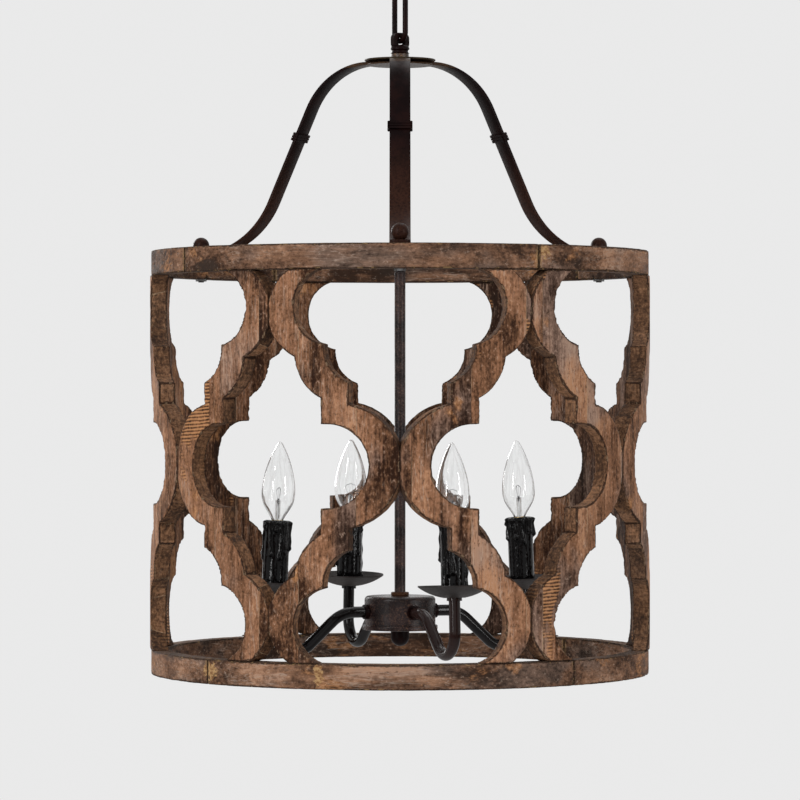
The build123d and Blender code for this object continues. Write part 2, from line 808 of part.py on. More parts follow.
with BuildPart() as lamp_sockets:
    socket_foot = cup_nut_height + cup_wall
    for azimuth in arm_azimuths:
        foot = candle_plane(azimuth)
        with BuildSketch(foot.offset(socket_foot)):
            Circle(socket_foot_radius)
        extrude(amount=socket_foot_height)
        with BuildSketch(foot.offset(socket_foot + socket_foot_height)):
            Circle(socket_radius)
        extrude(amount=socket_top - socket_foot - socket_foot_height)
        with BuildSketch(foot.offset(socket_foot)):
            Circle(nipple_hole_radius)
        extrude(amount=nipple_length - socket_foot, mode=Mode.SUBTRACT)
        with BuildSketch(foot.offset(socket_foot)):
            Circle(lead_hole_radius)
        extrude(amount=socket_top - socket_foot, mode=Mode.SUBTRACT)
        with BuildSketch(foot.offset(socket_hole_bottom)):
            Circle(socket_hole_radius)
        extrude(amount=socket_top - socket_hole_bottom, mode=Mode.SUBTRACT)
save(lamp_sockets, "lamp_sockets")

with BuildPart() as candle_sleeves:
    sleeve_bottom = cup_nut_height + cup_wall + bowl_rise(candle_radius) + sleeve_seat_gap
    for azimuth in arm_azimuths:
        foot = candle_plane(azimuth)
        with BuildSketch(foot.offset(sleeve_bottom)):
            Circle(candle_radius)
        sleeve = extrude(amount=candle_top - sleeve_bottom)
        top_edge = sleeve.edges().sort_by(Axis.Z)[-1]
        fillet(top_edge, radius=candle_top_fillet)
        with BuildSketch(foot.offset(sleeve_bottom)):
            Circle(candle_radius - candle_wall)
        extrude(amount=candle_top - sleeve_bottom, mode=Mode.SUBTRACT)
save(candle_sleeves, "candle_sleeves")


# Flame bulbs
def bulb_glass(foot):
    """A thin flame-shaped envelope on a glass floor with the stem that holds the filament."""
    taper = math.radians(bulb_tip_taper)
    tip_centre = candle_top + bulb_rise - bulb_tip_radius
    with BuildPart() as glass:
        for shrink, mode in ((0, Mode.ADD), (glass_wall, Mode.SUBTRACT)):
            tip_radius = bulb_tip_radius - shrink
            neck = (bulb_base_radius - shrink, bulb_foot + shrink)
            widest = (bulb_radius - shrink, candle_top + bulb_widest_rise)
            tip_edge = (tip_radius * math.cos(taper), tip_centre + tip_radius * math.sin(taper))
            with BuildSketch(upright(foot)):
                with BuildLine():
                    Bezier(
                        neck,
                        (neck[0] + bulb_flare * bulb_neck_pull, neck[1] + bulb_neck_pull),
                        (widest[0], widest[1] - bulb_belly_pull),
                        widest,
                    )
                    Bezier(
                        widest,
                        (widest[0], widest[1] + bulb_shoulder_pull),
                        (tip_edge[0] + bulb_tip_pull * math.tan(taper), tip_edge[1] - bulb_tip_pull),
                        tip_edge,
                    )
                    CenterArc((0, tip_centre), tip_radius, bulb_tip_taper, 90 - bulb_tip_taper)
                    Polyline((0, tip_centre + tip_radius), (0, neck[1]), neck)
                make_face()
            revolve(axis=axis_of(foot), mode=mode)
        with BuildSketch(foot.offset(bulb_foot)):
            Circle(glass_stem_radius)
        extrude(amount=glass_stem_height)
        with BuildSketch(foot.offset(bulb_foot)):
            Circle(glass_stem_bore_radius)
        extrude(amount=glass_stem_height, mode=Mode.SUBTRACT)
    return glass


def bulb_base(foot):
    """The brass base with its contact, and the wire that rises from it as the filament."""
    with BuildPart() as base:
        with BuildSketch(foot.offset(bulb_base_foot)):
            Circle(bulb_base_radius)
        extrude(amount=bulb_base_length)
        with BuildSketch(foot.offset(bulb_base_foot)):
            Circle(contact_radius)
        extrude(amount=-contact_height)
        with BuildLine(upright(foot)):
            side = filament_spacing / 2
            first = Line((-side, bulb_foot - filament_wire), (-side, bulb_foot + glass_stem_height))
            Polyline(
                (-side, bulb_foot + glass_stem_height),
                (-filament_spread, candle_top + filament_shoulder_rise),
                (0, candle_top + filament_rise),
                (filament_spread, candle_top + filament_shoulder_rise),
                (side, bulb_foot + glass_stem_height),
                (side, bulb_foot - filament_wire),
            )
        with BuildSketch(Plane(origin=first @ 0, x_dir=foot.x_dir, z_dir=foot.z_dir)):
            Rectangle(filament_wire, filament_wire)
        sweep(transition=Transition.RIGHT)
    return base


for index, azimuth in enumerate(arm_azimuths):
    save(bulb_glass(candle_plane(azimuth)), f"bulb_glass_{index + 1}")
    save(bulb_base(candle_plane(azimuth)), f"bulb_base_{index + 1}")

# Wiring inside the canister
with BuildPart() as wiring:
    arm_mouth = canister_radius - canister_wall - arm_stub
    for azimuth in arm_azimuths:
        connector = section_plane(azimuth, spigot_top, connector_circle_radius)
        with BuildSketch(connector):
            with BuildLine():
                Polyline(
                    (0, 0),
                    (connector_radius, 0),
                    (connector_tip_radius, connector_height),
                    (0, connector_height),
                    close=True,
                )
            make_face()
        revolve(axis=Axis(connector.origin, Vector(0, 0, 1)))
        with BuildLine(section_plane(azimuth, 0)):
            lead = FilletPolyline(
                (arm_mouth + lead_in_arm, arm_height),
                (connector_circle_radius, arm_height),
                (connector_circle_radius, spigot_top + connector_height / 2),
                radius=lead_bend_radius,
            )
        with BuildSketch(Plane(origin=lead @ 0, z_dir=lead % 0)):
            Circle(lead_radius)
        sweep()
save(wiring, "wiring")
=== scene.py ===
# %% [markdown]
# This lesson dresses the solids of a wooden drum chandelier: a lattice of sawn
# ribbons between two rings, hung from three iron straps and a chain, with four
# dripping candles inside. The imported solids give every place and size, so the
# lesson adds only what a maker's hands and years of use add: worn arrises, stain,
# rust, wax and glass.

# %% Load the solids
import json
import math
import random

import bmesh
import bpy
from mathutils import Matrix, Vector, kdtree, noise


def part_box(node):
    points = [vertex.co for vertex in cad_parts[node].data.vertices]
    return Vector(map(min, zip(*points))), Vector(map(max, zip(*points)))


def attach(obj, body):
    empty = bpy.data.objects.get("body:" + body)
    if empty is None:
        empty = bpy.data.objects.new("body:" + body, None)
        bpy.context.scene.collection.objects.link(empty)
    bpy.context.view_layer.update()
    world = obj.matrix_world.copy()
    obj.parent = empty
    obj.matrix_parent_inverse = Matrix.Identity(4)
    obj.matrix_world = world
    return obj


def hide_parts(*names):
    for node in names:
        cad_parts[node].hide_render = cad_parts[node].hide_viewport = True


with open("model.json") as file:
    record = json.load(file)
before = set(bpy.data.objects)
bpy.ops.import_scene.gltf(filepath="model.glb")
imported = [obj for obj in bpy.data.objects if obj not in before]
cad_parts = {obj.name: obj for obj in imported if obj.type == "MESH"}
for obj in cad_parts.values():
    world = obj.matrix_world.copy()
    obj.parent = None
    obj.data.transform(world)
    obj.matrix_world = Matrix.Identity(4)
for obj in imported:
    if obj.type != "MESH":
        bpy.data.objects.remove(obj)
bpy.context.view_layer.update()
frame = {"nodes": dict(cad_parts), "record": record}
scene = bpy.context.scene
millimetre = 0.001

# %% [markdown]
# The room's light and every finish are a few nodes wired together. A small class keeps
# the wiring readable: put() adds a node, and the other methods add the nodes that come
# up again and again. A finish is such a set of nodes that feeds one Principled shader.


# %% Node helpers
class Wiring:
    """A node tree whose nodes are laid down a line at a time."""

    def __init__(self, tree):
        self.tree = tree

    def put(self, kind, feeds, **options):
        """Add a node, set its options, and feed its inputs with values or sockets."""
        made = self.tree.nodes.new("ShaderNode" + kind)
        for option, value in options.items():
            setattr(made, option, value)
        for socket, value in feeds.items():
            self.feed(made.inputs[socket], value)
        return made

    def feed(self, target, value):
        """Give an input a plain value, or link another node's output to it."""
        if isinstance(value, bpy.types.NodeSocket):
            self.tree.links.new(value, target)
        else:
            target.default_value = value

    def maths(self, operation, first, second=0.0, third=0.0):
        """One Math node."""
        feeds = {0: first, 1: second, 2: third}
        return self.put("Math", feeds, operation=operation).outputs[0]

    def times(self, first, second):
        """The product of two numbers."""
        return self.maths("MULTIPLY", first, second)

    def times_plus(self, value, factor, rest):
        """The value times the factor, plus the rest."""
        return self.maths("MULTIPLY_ADD", value, factor, rest)

    def place(self):
        """The point on the piece, in metres."""
        return self.put("TexCoord", {}).outputs["Object"]

    def stretched(self, vector, scale, shift=(0, 0, 0)):
        """The same point with each axis scaled, so that a pattern is stretched."""
        return self.put("Mapping", {0: vector, 1: shift, 3: scale}).outputs[0]

    def noise(self, vector, scale=1.0, detail=3.0, roughness=0.55, distortion=0.0):
        """Cloudy noise around a half."""
        feeds = {"Vector": vector, "Scale": scale, "Detail": detail}
        feeds.update({"Roughness": roughness, "Distortion": distortion})
        return self.put("TexNoise", feeds).outputs["Fac"]

    def between(self, value, low, high, start=0.0, end=1.0):
        """A smooth step of the value from start at low to end at high."""
        feeds = {"Value": value, "From Min": low, "From Max": high, "To Min": start, "To Max": end}
        return self.put("MapRange", feeds, interpolation_type="SMOOTHSTEP").outputs[0]

    def ramp(self, value, stops):
        """Colours along the value; a stop is (position, colour)."""
        made = self.put("ValToRGB", {"Fac": value})
        band = made.color_ramp
        while len(band.elements) < len(stops):
            band.elements.new(0.5)
        for element, (position, colour) in zip(band.elements, stops):
            element.position = position
            element.color = (*colour, 1)
        return made.outputs["Color"]

    def over(self, share, under, top):
        """Lay the colour top over the colour under by a share."""
        under = under if isinstance(under, bpy.types.NodeSocket) else (*under, 1)
        top = top if isinstance(top, bpy.types.NodeSocket) else (*top, 1)
        made = self.put("Mix", {0: share, 6: under, 7: top}, data_type="RGBA")
        return made.outputs[2]

    def attribute(self, name):
        """A number painted on the piece's points."""
        return self.put("Attribute", {}, attribute_name=name).outputs["Fac"]

    def dent(self, height, distance, strength=1.0, under=None):
        """Turn a height into a bump, on top of an earlier one if there is one."""
        feeds = {"Height": height, "Distance": distance, "Strength": strength}
        if under is not None:
            feeds["Normal"] = under
        return self.put("Bump", feeds).outputs[0]


class Finish(Wiring):
    """A material with one Principled shader."""

    def __init__(self, name, roughness=0.5, specular=0.5, metallic=0.0):
        self.material = bpy.data.materials.new(name)
        self.material.use_nodes = True
        super().__init__(self.material.node_tree)
        self.shader = self.tree.nodes["Principled BSDF"]
        self.shader.inputs["Roughness"].default_value = roughness
        self.shader.inputs["Specular IOR Level"].default_value = specular
        self.shader.inputs["Metallic"].default_value = metallic

    def paint(self, colour, roughness=None, normal=None):
        """Feed the shader."""
        feeds = {"Base Color": colour, "Roughness": roughness, "Normal": normal}
        for socket, value in feeds.items():
            if value is not None:
                self.feed(self.shader.inputs[socket], value)
        return self.material


# %% [markdown]
# The real fixture was photographed from far away with a long lens, level with the
# middle of the drum. A long lens keeps the two rings almost parallel, so the same
# distance and field of view are used here and nothing has to be stretched.

# %% Camera
camera_distance = 4.013
camera_height = -0.5553
focal_length_in_pixels = 3922
picture_width_in_pixels = 800
horizon_above_centre_in_pixels = 7.6
sensor_width = 36
far_clip = 100

camera_data = bpy.data.cameras.new("camera")
camera_data.sensor_width = sensor_width
camera_data.lens = sensor_width * focal_length_in_pixels / picture_width_in_pixels
camera_data.shift_y = -horizon_above_centre_in_pixels / picture_width_in_pixels
camera_data.clip_end = far_clip
camera = bpy.data.objects.new("camera", camera_data)
camera.location = (0, -camera_distance, camera_height)
camera.rotation_euler = (math.radians(90), 0, 0)
scene.collection.objects.link(camera)
scene.camera = camera
print("lens", round(camera_data.lens, 1), "mm")

# %% [markdown]
# The studio is a pale room. The world is seen as one plain pale grey by the camera,
# by reflections and through glass, while the light that it sends to matt surfaces is
# weaker, so that colours come out about as they are written.

# %% World
background_grey = 0.82
pale_grey = (background_grey, background_grey, background_grey, 1)
world_light = 0.5

world = bpy.data.worlds.new("studio")
world.use_nodes = True
scene.world = world
scene.view_settings.view_transform = "Standard"
sky = Wiring(world.node_tree)
sky.tree.nodes.clear()
ray = sky.put("LightPath", {}).outputs
plain_view = sky.maths("MAXIMUM", ray["Is Camera Ray"], ray["Is Glossy Ray"])
plain_view = sky.maths("MAXIMUM", plain_view, ray["Is Transmission Ray"])
lighting = sky.put("Background", {"Color": (1, 1, 1, 1), "Strength": world_light}).outputs[0]
seen = sky.put("Background", {"Color": pale_grey}).outputs[0]
choice = sky.put("MixShader", {0: plain_view, 1: lighting, 2: seen}).outputs[0]
sky.put("OutputWorld", {0: choice})
print("background", background_grey, "world light", world_light)

# %% [markdown]
# Two tall strip lamps in front draw the long upright highlights on wax and tubes, and
# two wide ones light from above and behind. Each one's power is worked out from its
# distance and the share of light that it should give a surface facing it.

# %% Lamps
drum_centre = Vector((0, 0, -0.63))


def softbox(name, place, size, share):
    """Add an area lamp that lights a surface facing it at the drum by this share of white."""
    data = bpy.data.lights.new(name, "AREA")
    data.shape = "RECTANGLE"
    data.size, data.size_y = size
    towards = drum_centre - Vector(place)
    data.energy = share * math.pi ** 2 * towards.length_squared
    lamp = bpy.data.objects.new(name, data)
    lamp.location = place
    lamp.rotation_euler = towards.to_track_quat("-Z", "Y").to_euler()
    lamp.visible_camera = False
    scene.collection.objects.link(lamp)


softbox("key_strip", (-2.4, -2.9, 0.4), (0.3, 2.6), 0.46)
softbox("fill_strip", (2.7, -2.3, 0.0), (0.25, 2.4), 0.24)
softbox("top_softbox", (0.4, 1.2, 2.2), (1.8, 1.8), 0.2)
softbox("back_softbox", (-1.8, 3.0, 0.2), (0.6, 1.8), 0.2)

# %% [markdown]
# The floor is one wide sheet of pale studio paper that keeps the fixture's soft shadow.
# It lies far enough below for a camera to look up at the drum from beneath. To the
# camera the paper glows a little, which brings it close to the pale grey behind it.

# %% Floor
floor_height = -3.4
floor_radius = 13.0
floor_rim = 0.3
floor_sides = 96
paper_grey = 0.82
paper_roughness = 0.9
paper_glow = 0.7

bpy.ops.object.select_all(action="DESELECT")
bpy.ops.mesh.primitive_circle_add(
    vertices=floor_sides, radius=floor_radius, fill_type="NGON", location=(0, 0, floor_height)
)
floor = bpy.context.object
floor.name = "floor"
bpy.ops.object.mode_set(mode="EDIT")
bpy.ops.mesh.inset(thickness=floor_rim)
bpy.ops.mesh.select_all(action="INVERT")
bpy.ops.object.mode_set(mode="OBJECT")

paper = Finish("floor_paper", roughness=paper_roughness)
paper.paint((paper_grey, paper_grey, paper_grey, 1))
glow = paper.put("Emission", {"Color": pale_grey}).outputs[0]
seen_share = paper.times(paper.put("LightPath", {}).outputs["Is Camera Ray"], paper_glow)
feeds = {0: seen_share, 1: paper.shader.outputs[0], 2: glow}
mix = paper.put("MixShader", feeds).outputs[0]
paper.feed(paper.tree.nodes["Material Output"].inputs[0], mix)
floor.data.materials.append(paper.material)
print("floor at", floor_height)

# %% [markdown]
# The wood is stained pine that was rubbed back, washed and left with worn arrises. Its
# tone is one number, summed from patterns of four sizes: clouds, long streaks, fibres and
# grit. That number is looked up in a cool and in a warm band of colours, which drift into
# each other. Painted shade lowers the tone on the faces inside the drum. Knots, bare
# orange patches, scratches, a saw's chatter marks and arrises darkened with soot and
# painted shade lie over it. Only the grain's direction, the bands and the amounts differ
# between rings and ribbons.


# %% Weathered wood
grit_scale = (360, 360, 240)
flake_scale = (240, 240, 110)
plank_shift = 7.0
knot_density = 11.0
knot_stretch = 0.5
scratch_scale = (190, 60, 16)
scratch_turns = (0.5, -0.7)
chatter_stretch = (0.35, 1.0, 1.0)
grain_relief = 0.8 * millimetre
saw_relief = 1.2 * millimetre
drift_relief = 6.0 * millimetre


def wood_tone(wood, layers, plank_change, number, centre):
    """Sum pattern layers of (noise, weight) into a number around the centre, plank by plank."""
    middle = centre - plank_change / 2 - sum(weight for _, weight in layers) / 2
    tone = wood.times_plus(number, plank_change, middle)
    for layer, weight in layers:
        tone = wood.times_plus(layer, weight, tone)
    return tone


def even_band(*colours):
    """Stops that spread these colours evenly from 0 to 1."""
    return [(i / (len(colours) - 1), colour) for i, colour in enumerate(colours)]


def knots(wood, local):
    """Dark oval knots in a few places, from 0 to 1."""
    point = wood.put("SeparateXYZ", {0: local})
    along = wood.times(point.outputs[2], knot_stretch)
    flat = wood.put("CombineXYZ", {0: point.outputs[0], 1: along, 2: 0.0}).outputs[0]
    feeds = {"Vector": flat, "Scale": knot_density}
    cells = wood.put("TexVoronoi", feeds, voronoi_dimensions="2D")
    kept = wood.put("SeparateColor", {0: cells.outputs["Color"]}).outputs[0]
    spot = wood.between(cells.outputs["Distance"], 0.05, 0.10, 1.0, 0.0)
    return wood.times(spot, wood.between(kept, 0.5, 0.55))


def scratches(wood, local, turn):
    """Thin pale lines that cross the grain at an angle, from 0 to 1."""
    feeds = {0: local, 2: (0.0, turn, 0.0), 3: scratch_scale}
    crossed = wood.put("Mapping", feeds).outputs[0]
    wave = wood.noise(crossed, detail=2, distortion=0.2)
    off = wood.maths("ABSOLUTE", wood.maths("SUBTRACT", wave, 0.5))
    return wood.between(off, 0.0, 0.016, 1.0, 0.0)


def weathered_wood(name, grain, board, looks):
    """Wood finish; grain gives a space whose z runs along it, board a number for each plank."""
    wood = Finish(name, roughness=0.7, specular=0.07)
    space, number = grain(wood), board(wood)
    shift = wood.put("CombineXYZ", {0: number, 1: number, 2: number}).outputs[0]
    moved = wood.put("VectorMath", {0: shift, 3: plank_shift}, operation="SCALE").outputs[0]
    local = wood.put("VectorMath", {0: space, 1: moved}, operation="ADD").outputs[0]

    drift = wood.noise(wood.stretched(local, looks["drift_scale"]), detail=6, roughness=0.62)
    streak = wood.noise(wood.stretched(local, looks["streak_scale"]), detail=4, distortion=0.6)
    fibre = wood.noise(wood.stretched(local, looks["fibre_scale"]), detail=3, roughness=0.65)
    grit = wood.noise(wood.stretched(local, grit_scale), detail=4, roughness=0.7)
    flake = wood.noise(wood.stretched(local, flake_scale), detail=5, roughness=0.7)
    layers = list(zip((drift, streak, fibre, grit), looks["weights"]))
    tone = wood_tone(wood, layers, looks["plank_change"], number, looks["centre"])

    patch = wood.stretched(local, looks["patch"], (3, 9, 1))
    grime = wood.noise(patch, detail=8, roughness=0.62)
    start = looks["grime_from"]
    grime = wood.between(grime, start, start + 0.09, 0.0, looks["grime"])
    tone = wood.maths("SUBTRACT", tone, grime)
    # Painted shade: the tone is lowered on the faces that look into the drum, by the inner share.
    inner = wood.attribute("inner")
    tone = wood.times_plus(inner, -looks["inner_painted_shade"], tone)
    warmth = wood.attribute("warmth")
    patch = wood.stretched(local, looks["patch"], (1, 5, 9))
    hue = wood.noise(patch, detail=4, roughness=0.55)
    hue = wood.between(wood.maths("ADD", hue, warmth), 0.38, 0.54)
    colour = wood.over(hue, wood.ramp(tone, looks["cool"]), wood.ramp(tone, looks["warm"]))

    patch = wood.stretched(local, looks["patch"], (5, 2, 7))
    bare = wood.noise(patch, detail=8, roughness=0.66)
    bare = wood.times_plus(warmth, 0.35, bare)
    start = looks["bare_from"]
    bare = wood.between(bare, start, start + 0.06, 0.0, 0.8)
    bare_tone = wood.ramp(
        wood.times_plus(fibre, 0.5, wood.times(grit, 0.5)),
        [(0.34, looks["pore"]), (0.44, looks["bare_deep"]), (0.6, looks["bare_light"])],
    )
    colour = wood.over(bare, colour, bare_tone)
    colour = wood.over(wood.between(grit, 0.30, 0.44, looks["grit"], 0.0), colour, looks["pore"])
    colour = wood.over(wood.between(grit, 0.58, 0.72, 0.0, looks["speck"]), colour, looks["pale"])
    for turn in scratch_turns:
        kept = wood.between(drift, 0.46, 0.58, 0.0, looks["scratch"])
        scored = wood.times(scratches(wood, local, turn), kept)
        colour = wood.over(scored, colour, looks["pale"])
    colour = wood.over(wood.times(knots(wood, local), 0.75), colour, looks["soot"])

    feeds = {0: space, 2: (0.0, looks["chatter_tilt"], 0.0), 3: chatter_stretch}
    tilted = wood.put("Mapping", feeds).outputs[0]
    feeds = {"Vector": tilted, "Scale": looks["chatter_scale"]}
    feeds.update({"Distortion": 2.4, "Detail": 3.0, "Detail Scale": 2.0})
    chatter = wood.put("TexWave", feeds, bands_direction="Z").outputs["Fac"]
    patch = wood.stretched(local, looks["patch"], (8, 4, 2))
    chattered = wood.noise(patch, detail=5, roughness=0.6)
    chattered = wood.times_plus(wood.attribute("milled"), 0.3, chattered)
    start = looks["chatter_from"]
    chattered = wood.between(chattered, start, start + 0.05)
    ribs = wood.times_plus(grit, 0.7, wood.times(drift, 0.5))
    ribs = wood.times_plus(chatter, 0.45, ribs)
    chatter_tone = wood.ramp(
        ribs,
        [(0.58, looks["soot"]), (0.74, looks["bare_deep"]), (1.0, looks["bare_light"])],
    )
    colour = wood.over(wood.times(chattered, 0.8), colour, chatter_tone)

    cut = wood.attribute("sawn")
    saw_lines = wood.noise(wood.stretched(space, looks["saw_scale"]), detail=3, roughness=0.65)
    saw_mix = wood.times_plus(grit, 0.4, wood.times(saw_lines, 0.2))
    saw_mix = wood.times_plus(drift, 0.4, saw_mix)
    saw_tone = wood.ramp(
        saw_mix,
        [(0.42, looks["soot"]), (0.5, looks["cut_deep"]), (0.59, looks["cut_light"])],
    )
    colour = wood.over(wood.times(cut, 0.85), colour, saw_tone)

    joint = wood.times(wood.joint, wood.between(flake, 0.4, 0.56, 0.25, 0.9))
    glue = wood.over(wood.between(drift, 0.45, 0.55), looks["soot"], looks["filler"])
    colour = wood.over(joint, colour, glue)

    ragged = wood.between(flake, 0.3, 0.7, -0.5, 0.5)
    filled = wood.times_plus(ragged, 0.7, wood.attribute("filled"))
    filler_tone = wood.over(wood.between(grit, 0.36, 0.6), looks["bare_deep"], looks["filler"])
    colour = wood.over(wood.between(filled, 0.46, 0.54, 0.0, 0.85), colour, filler_tone)

    # Soot and painted shade: a near-black line is laid along the sharp edges, broken up by noise.
    arris = wood.attribute("arris")
    worn = wood.times_plus(wood.between(flake, 0.3, 0.7, -0.3, 0.3), 0.8, arris)
    worn = wood.times_plus(wood.between(drift, 0.38, 0.62, -0.3, 0.3), 0.9, worn)
    colour = wood.over(wood.between(worn, 0.5, 0.78, 0.0, 0.88), colour, looks["edge"])
    chip = wood.times(wood.between(flake, 0.55, 0.62), wood.between(arris, 0.3, 0.65))
    colour = wood.over(wood.times(chip, 0.4), colour, looks["filler"])

    rough = wood.times_plus(grime, 0.2, wood.between(fibre, 0.3, 0.7, 0.56, 0.8))
    normal = wood.dent(fibre, grain_relief, 0.8)
    normal = wood.dent(grit, grain_relief, 0.6, normal)
    normal = wood.dent(chatter, grain_relief, wood.times(chattered, 0.9), normal)
    normal = wood.dent(saw_lines, saw_relief, wood.times(cut, 0.5), normal)
    normal = wood.dent(drift, drift_relief, 0.3, normal)
    return wood.paint(colour, rough, normal)


# %% [markdown]
# The ribbons were sawn from a drum coopered out of upright staves, so their grain is
# upright and changes tone from stave to stave, with a thin line of glue between them.
# Wrapping the pattern round the drum's axis keeps it square on every ribbon.

# %% Ribbon wood
drum_radius = 0.2552
stave_width = 0.058
stave_joint = 0.012
board_shift = 0.31


def drum_space(wood):
    """Across the drum's skin, through it, and up."""
    point = wood.put("SeparateXYZ", {0: wood.place()})
    x, y, z = point.outputs[0], point.outputs[1], point.outputs[2]
    angle = wood.maths("ARCTAN2", x, wood.times(y, -1.0))
    around = wood.times(angle, drum_radius)
    level = wood.put("CombineXYZ", {0: x, 1: y, 2: 0.0}).outputs[0]
    radius = wood.put("VectorMath", {0: level}, operation="LENGTH").outputs["Value"]
    wood.around = around
    return wood.put("CombineXYZ", {0: around, 1: radius, 2: z}).outputs[0]


def stave_number(wood):
    """A number from 0 to 1 for each stave of each ribbon; it also marks the glue lines."""
    start = wood.times_plus(wood.attribute("board"), board_shift, wood.around)
    count = wood.maths("DIVIDE", start, stave_width)
    edge = wood.maths("PINGPONG", count, 0.5)
    wood.joint = wood.between(edge, 0.0, stave_joint, 1.0, 0.0)
    stave = wood.maths("FLOOR", count)
    return wood.put("TexWhiteNoise", {"W": stave}, noise_dimensions="1D").outputs["Value"]


ribbon_looks = {
    "cool": even_band(
        (0.022, 0.011, 0.007), (0.070, 0.039, 0.027), (0.155, 0.093, 0.068),
        (0.250, 0.154, 0.112), (0.37, 0.240, 0.176),
    ),
    "warm": even_band(
        (0.026, 0.010, 0.005), (0.090, 0.042, 0.022), (0.205, 0.096, 0.050),
        (0.320, 0.155, 0.084), (0.46, 0.235, 0.128),
    ),
    "weights": (2.1, 1.2, 0.9, 1.3),
    "centre": 0.60,
    "inner_painted_shade": 0.24,
    "drift_scale": (24, 24, 10),
    "streak_scale": (140, 140, 6),
    "fibre_scale": (420, 420, 40),
    "plank_change": 0.22,
    "pore": (0.030, 0.014, 0.008),
    "grit": 0.6,
    "speck": 0.5,
    "scratch": 0.5,
    "pale": (0.52, 0.37, 0.28),
    "patch": (13, 13, 8),
    "bare_from": 0.60,
    "bare_deep": (0.25, 0.105, 0.042),
    "bare_light": (0.58, 0.285, 0.125),
    "grime_from": 0.52,
    "grime": 0.28,
    "soot": (0.030, 0.018, 0.013),
    "edge": (0.020, 0.010, 0.007),
    "chatter_scale": 96.0,
    "chatter_tilt": 0.16,
    "chatter_from": 0.63,
    "saw_scale": (300, 24, 300),
    "cut_deep": (0.100, 0.052, 0.028),
    "cut_light": (0.290, 0.148, 0.076),
    "filler": (0.46, 0.31, 0.19),
}
ribbon_wood = weathered_wood("ribbon_wood", drum_space, stave_number, ribbon_looks)
print("made", ribbon_wood.name)

# %% [markdown]
# Each ring is four quarters sawn from straight planks, so the grain runs straight along
# each quarter and meets the next one at an angle. The quarter's own direction is painted
# on its points, and the pattern turns by it.


# %% Ring wood
def plank_space(wood):
    """Upwards, across the plank, and along its straight grain."""
    turned = wood.put(
        "VectorRotate",
        {"Vector": wood.place(), "Angle": wood.attribute("quarter")},
        rotation_type="Z_AXIS",
    ).outputs[0]
    x, y, z = wood.put("SeparateXYZ", {0: turned}).outputs
    return wood.put("CombineXYZ", {0: z, 1: y, 2: x}).outputs[0]


def plank_number(wood):
    """A number from 0 to 1 for each quarter; filler marks its two ends."""
    wood.joint = wood.between(wood.attribute("seam"), 0.0, 0.9)
    return wood.attribute("board")


ring_looks = {
    "cool": even_band(
        (0.036, 0.023, 0.017), (0.085, 0.054, 0.040), (0.140, 0.088, 0.064),
        (0.200, 0.126, 0.093), (0.30, 0.200, 0.150),
    ),
    "warm": even_band(
        (0.042, 0.022, 0.014), (0.105, 0.054, 0.032), (0.185, 0.096, 0.057),
        (0.270, 0.142, 0.083), (0.40, 0.225, 0.140),
    ),
    "weights": (2.4, 1.2, 0.9, 1.0),
    "centre": 0.54,
    "inner_painted_shade": 0.26,
    "drift_scale": (20, 20, 8),
    "streak_scale": (140, 140, 5),
    "fibre_scale": (360, 360, 24),
    "plank_change": 0.05,
    "pore": (0.026, 0.015, 0.010),
    "grit": 0.55,
    "speck": 0.45,
    "scratch": 0.4,
    "pale": (0.44, 0.34, 0.27),
    "patch": (26, 26, 8),
    "bare_from": 0.57,
    "bare_deep": (0.19, 0.082, 0.034),
    "bare_light": (0.47, 0.235, 0.110),
    "grime_from": 0.50,
    "grime": 0.28,
    "soot": (0.040, 0.027, 0.021),
    "edge": (0.024, 0.014, 0.010),
    "chatter_scale": 100.0,
    "chatter_tilt": 0.05,
    "chatter_from": 0.68,
    "saw_scale": (30, 330, 200),
    "cut_deep": (0.085, 0.055, 0.040),
    "cut_light": (0.200, 0.120, 0.075),
    "filler": (0.50, 0.31, 0.14),
}
ring_wood = weathered_wood("ring_wood", plank_space, plank_number, ring_looks)
print("made", ring_wood.name)

# %% [markdown]
# The solids have perfect edges, and old wood doesn't. Each board is copied, remeshed
# into small even faces that are laid back on the solid, and worn: the nearer a point
# lies to a sharp edge, the more it is rounded and chipped. The same nearness is painted
# on the points for the finish, and so are the cut and inner faces, the ends of the ring's
# quarters, and a few spots with saw marks or filler. A spot is an azimuth in degrees
# from the front, a height, and half a width and height.

# %% Worn boards
voxel = 1.6 * millimetre
arris_reach = 3.2 * millimetre
sharp_angle = math.radians(35)
sample_step = 0.7 * millimetre
arris_pull = 0.55
seam_reach = 5.0 * millimetre
chip_scale, chip_floor, chip_depth = 150, 0.12, 3.0
nick_scale, nick_floor, nick_depth = 420, 0.1, 1.5
even_wear = 0.3
ripple_scale, ripple_height = 60, 0.16
saw_spots = (
    (-51, -0.562, 0.018, 0.042), (-72, -0.455, 0.020, 0.020), (31, -0.745, 0.012, 0.020),
)
filler_spots = (
    (33.5, -0.417, 0.007, 0.010), (-47, -0.828, 0.010, 0.010), (-18, -0.826, 0.005, 0.011),
)


def select_only(piece):
    """Leave one object selected and active."""
    bpy.ops.object.select_all(action="DESELECT")
    piece.select_set(True)
    bpy.context.view_layer.objects.active = piece


def edit_all(piece):
    """Open one object in edit mode with all of its mesh selected."""
    select_only(piece)
    bpy.ops.object.mode_set(mode="EDIT")
    bpy.ops.mesh.select_all(action="SELECT")


def joined(pieces, name):
    """Join pieces into the first of them, under a new name."""
    select_only(pieces[0])
    for piece in pieces:
        piece.select_set(True)
    bpy.ops.object.join()
    pieces[0].name = name
    return pieces[0]


def merged_copy(node, name):
    """A new object with a node's mesh, its doubled points merged."""
    piece = bpy.data.objects.new(name, frame["nodes"][node].data.copy())
    scene.collection.objects.link(piece)
    piece.data.materials.clear()
    edit_all(piece)
    bpy.ops.mesh.remove_doubles(threshold=0.005 * millimetre)
    bpy.ops.object.mode_set(mode="OBJECT")
    return piece


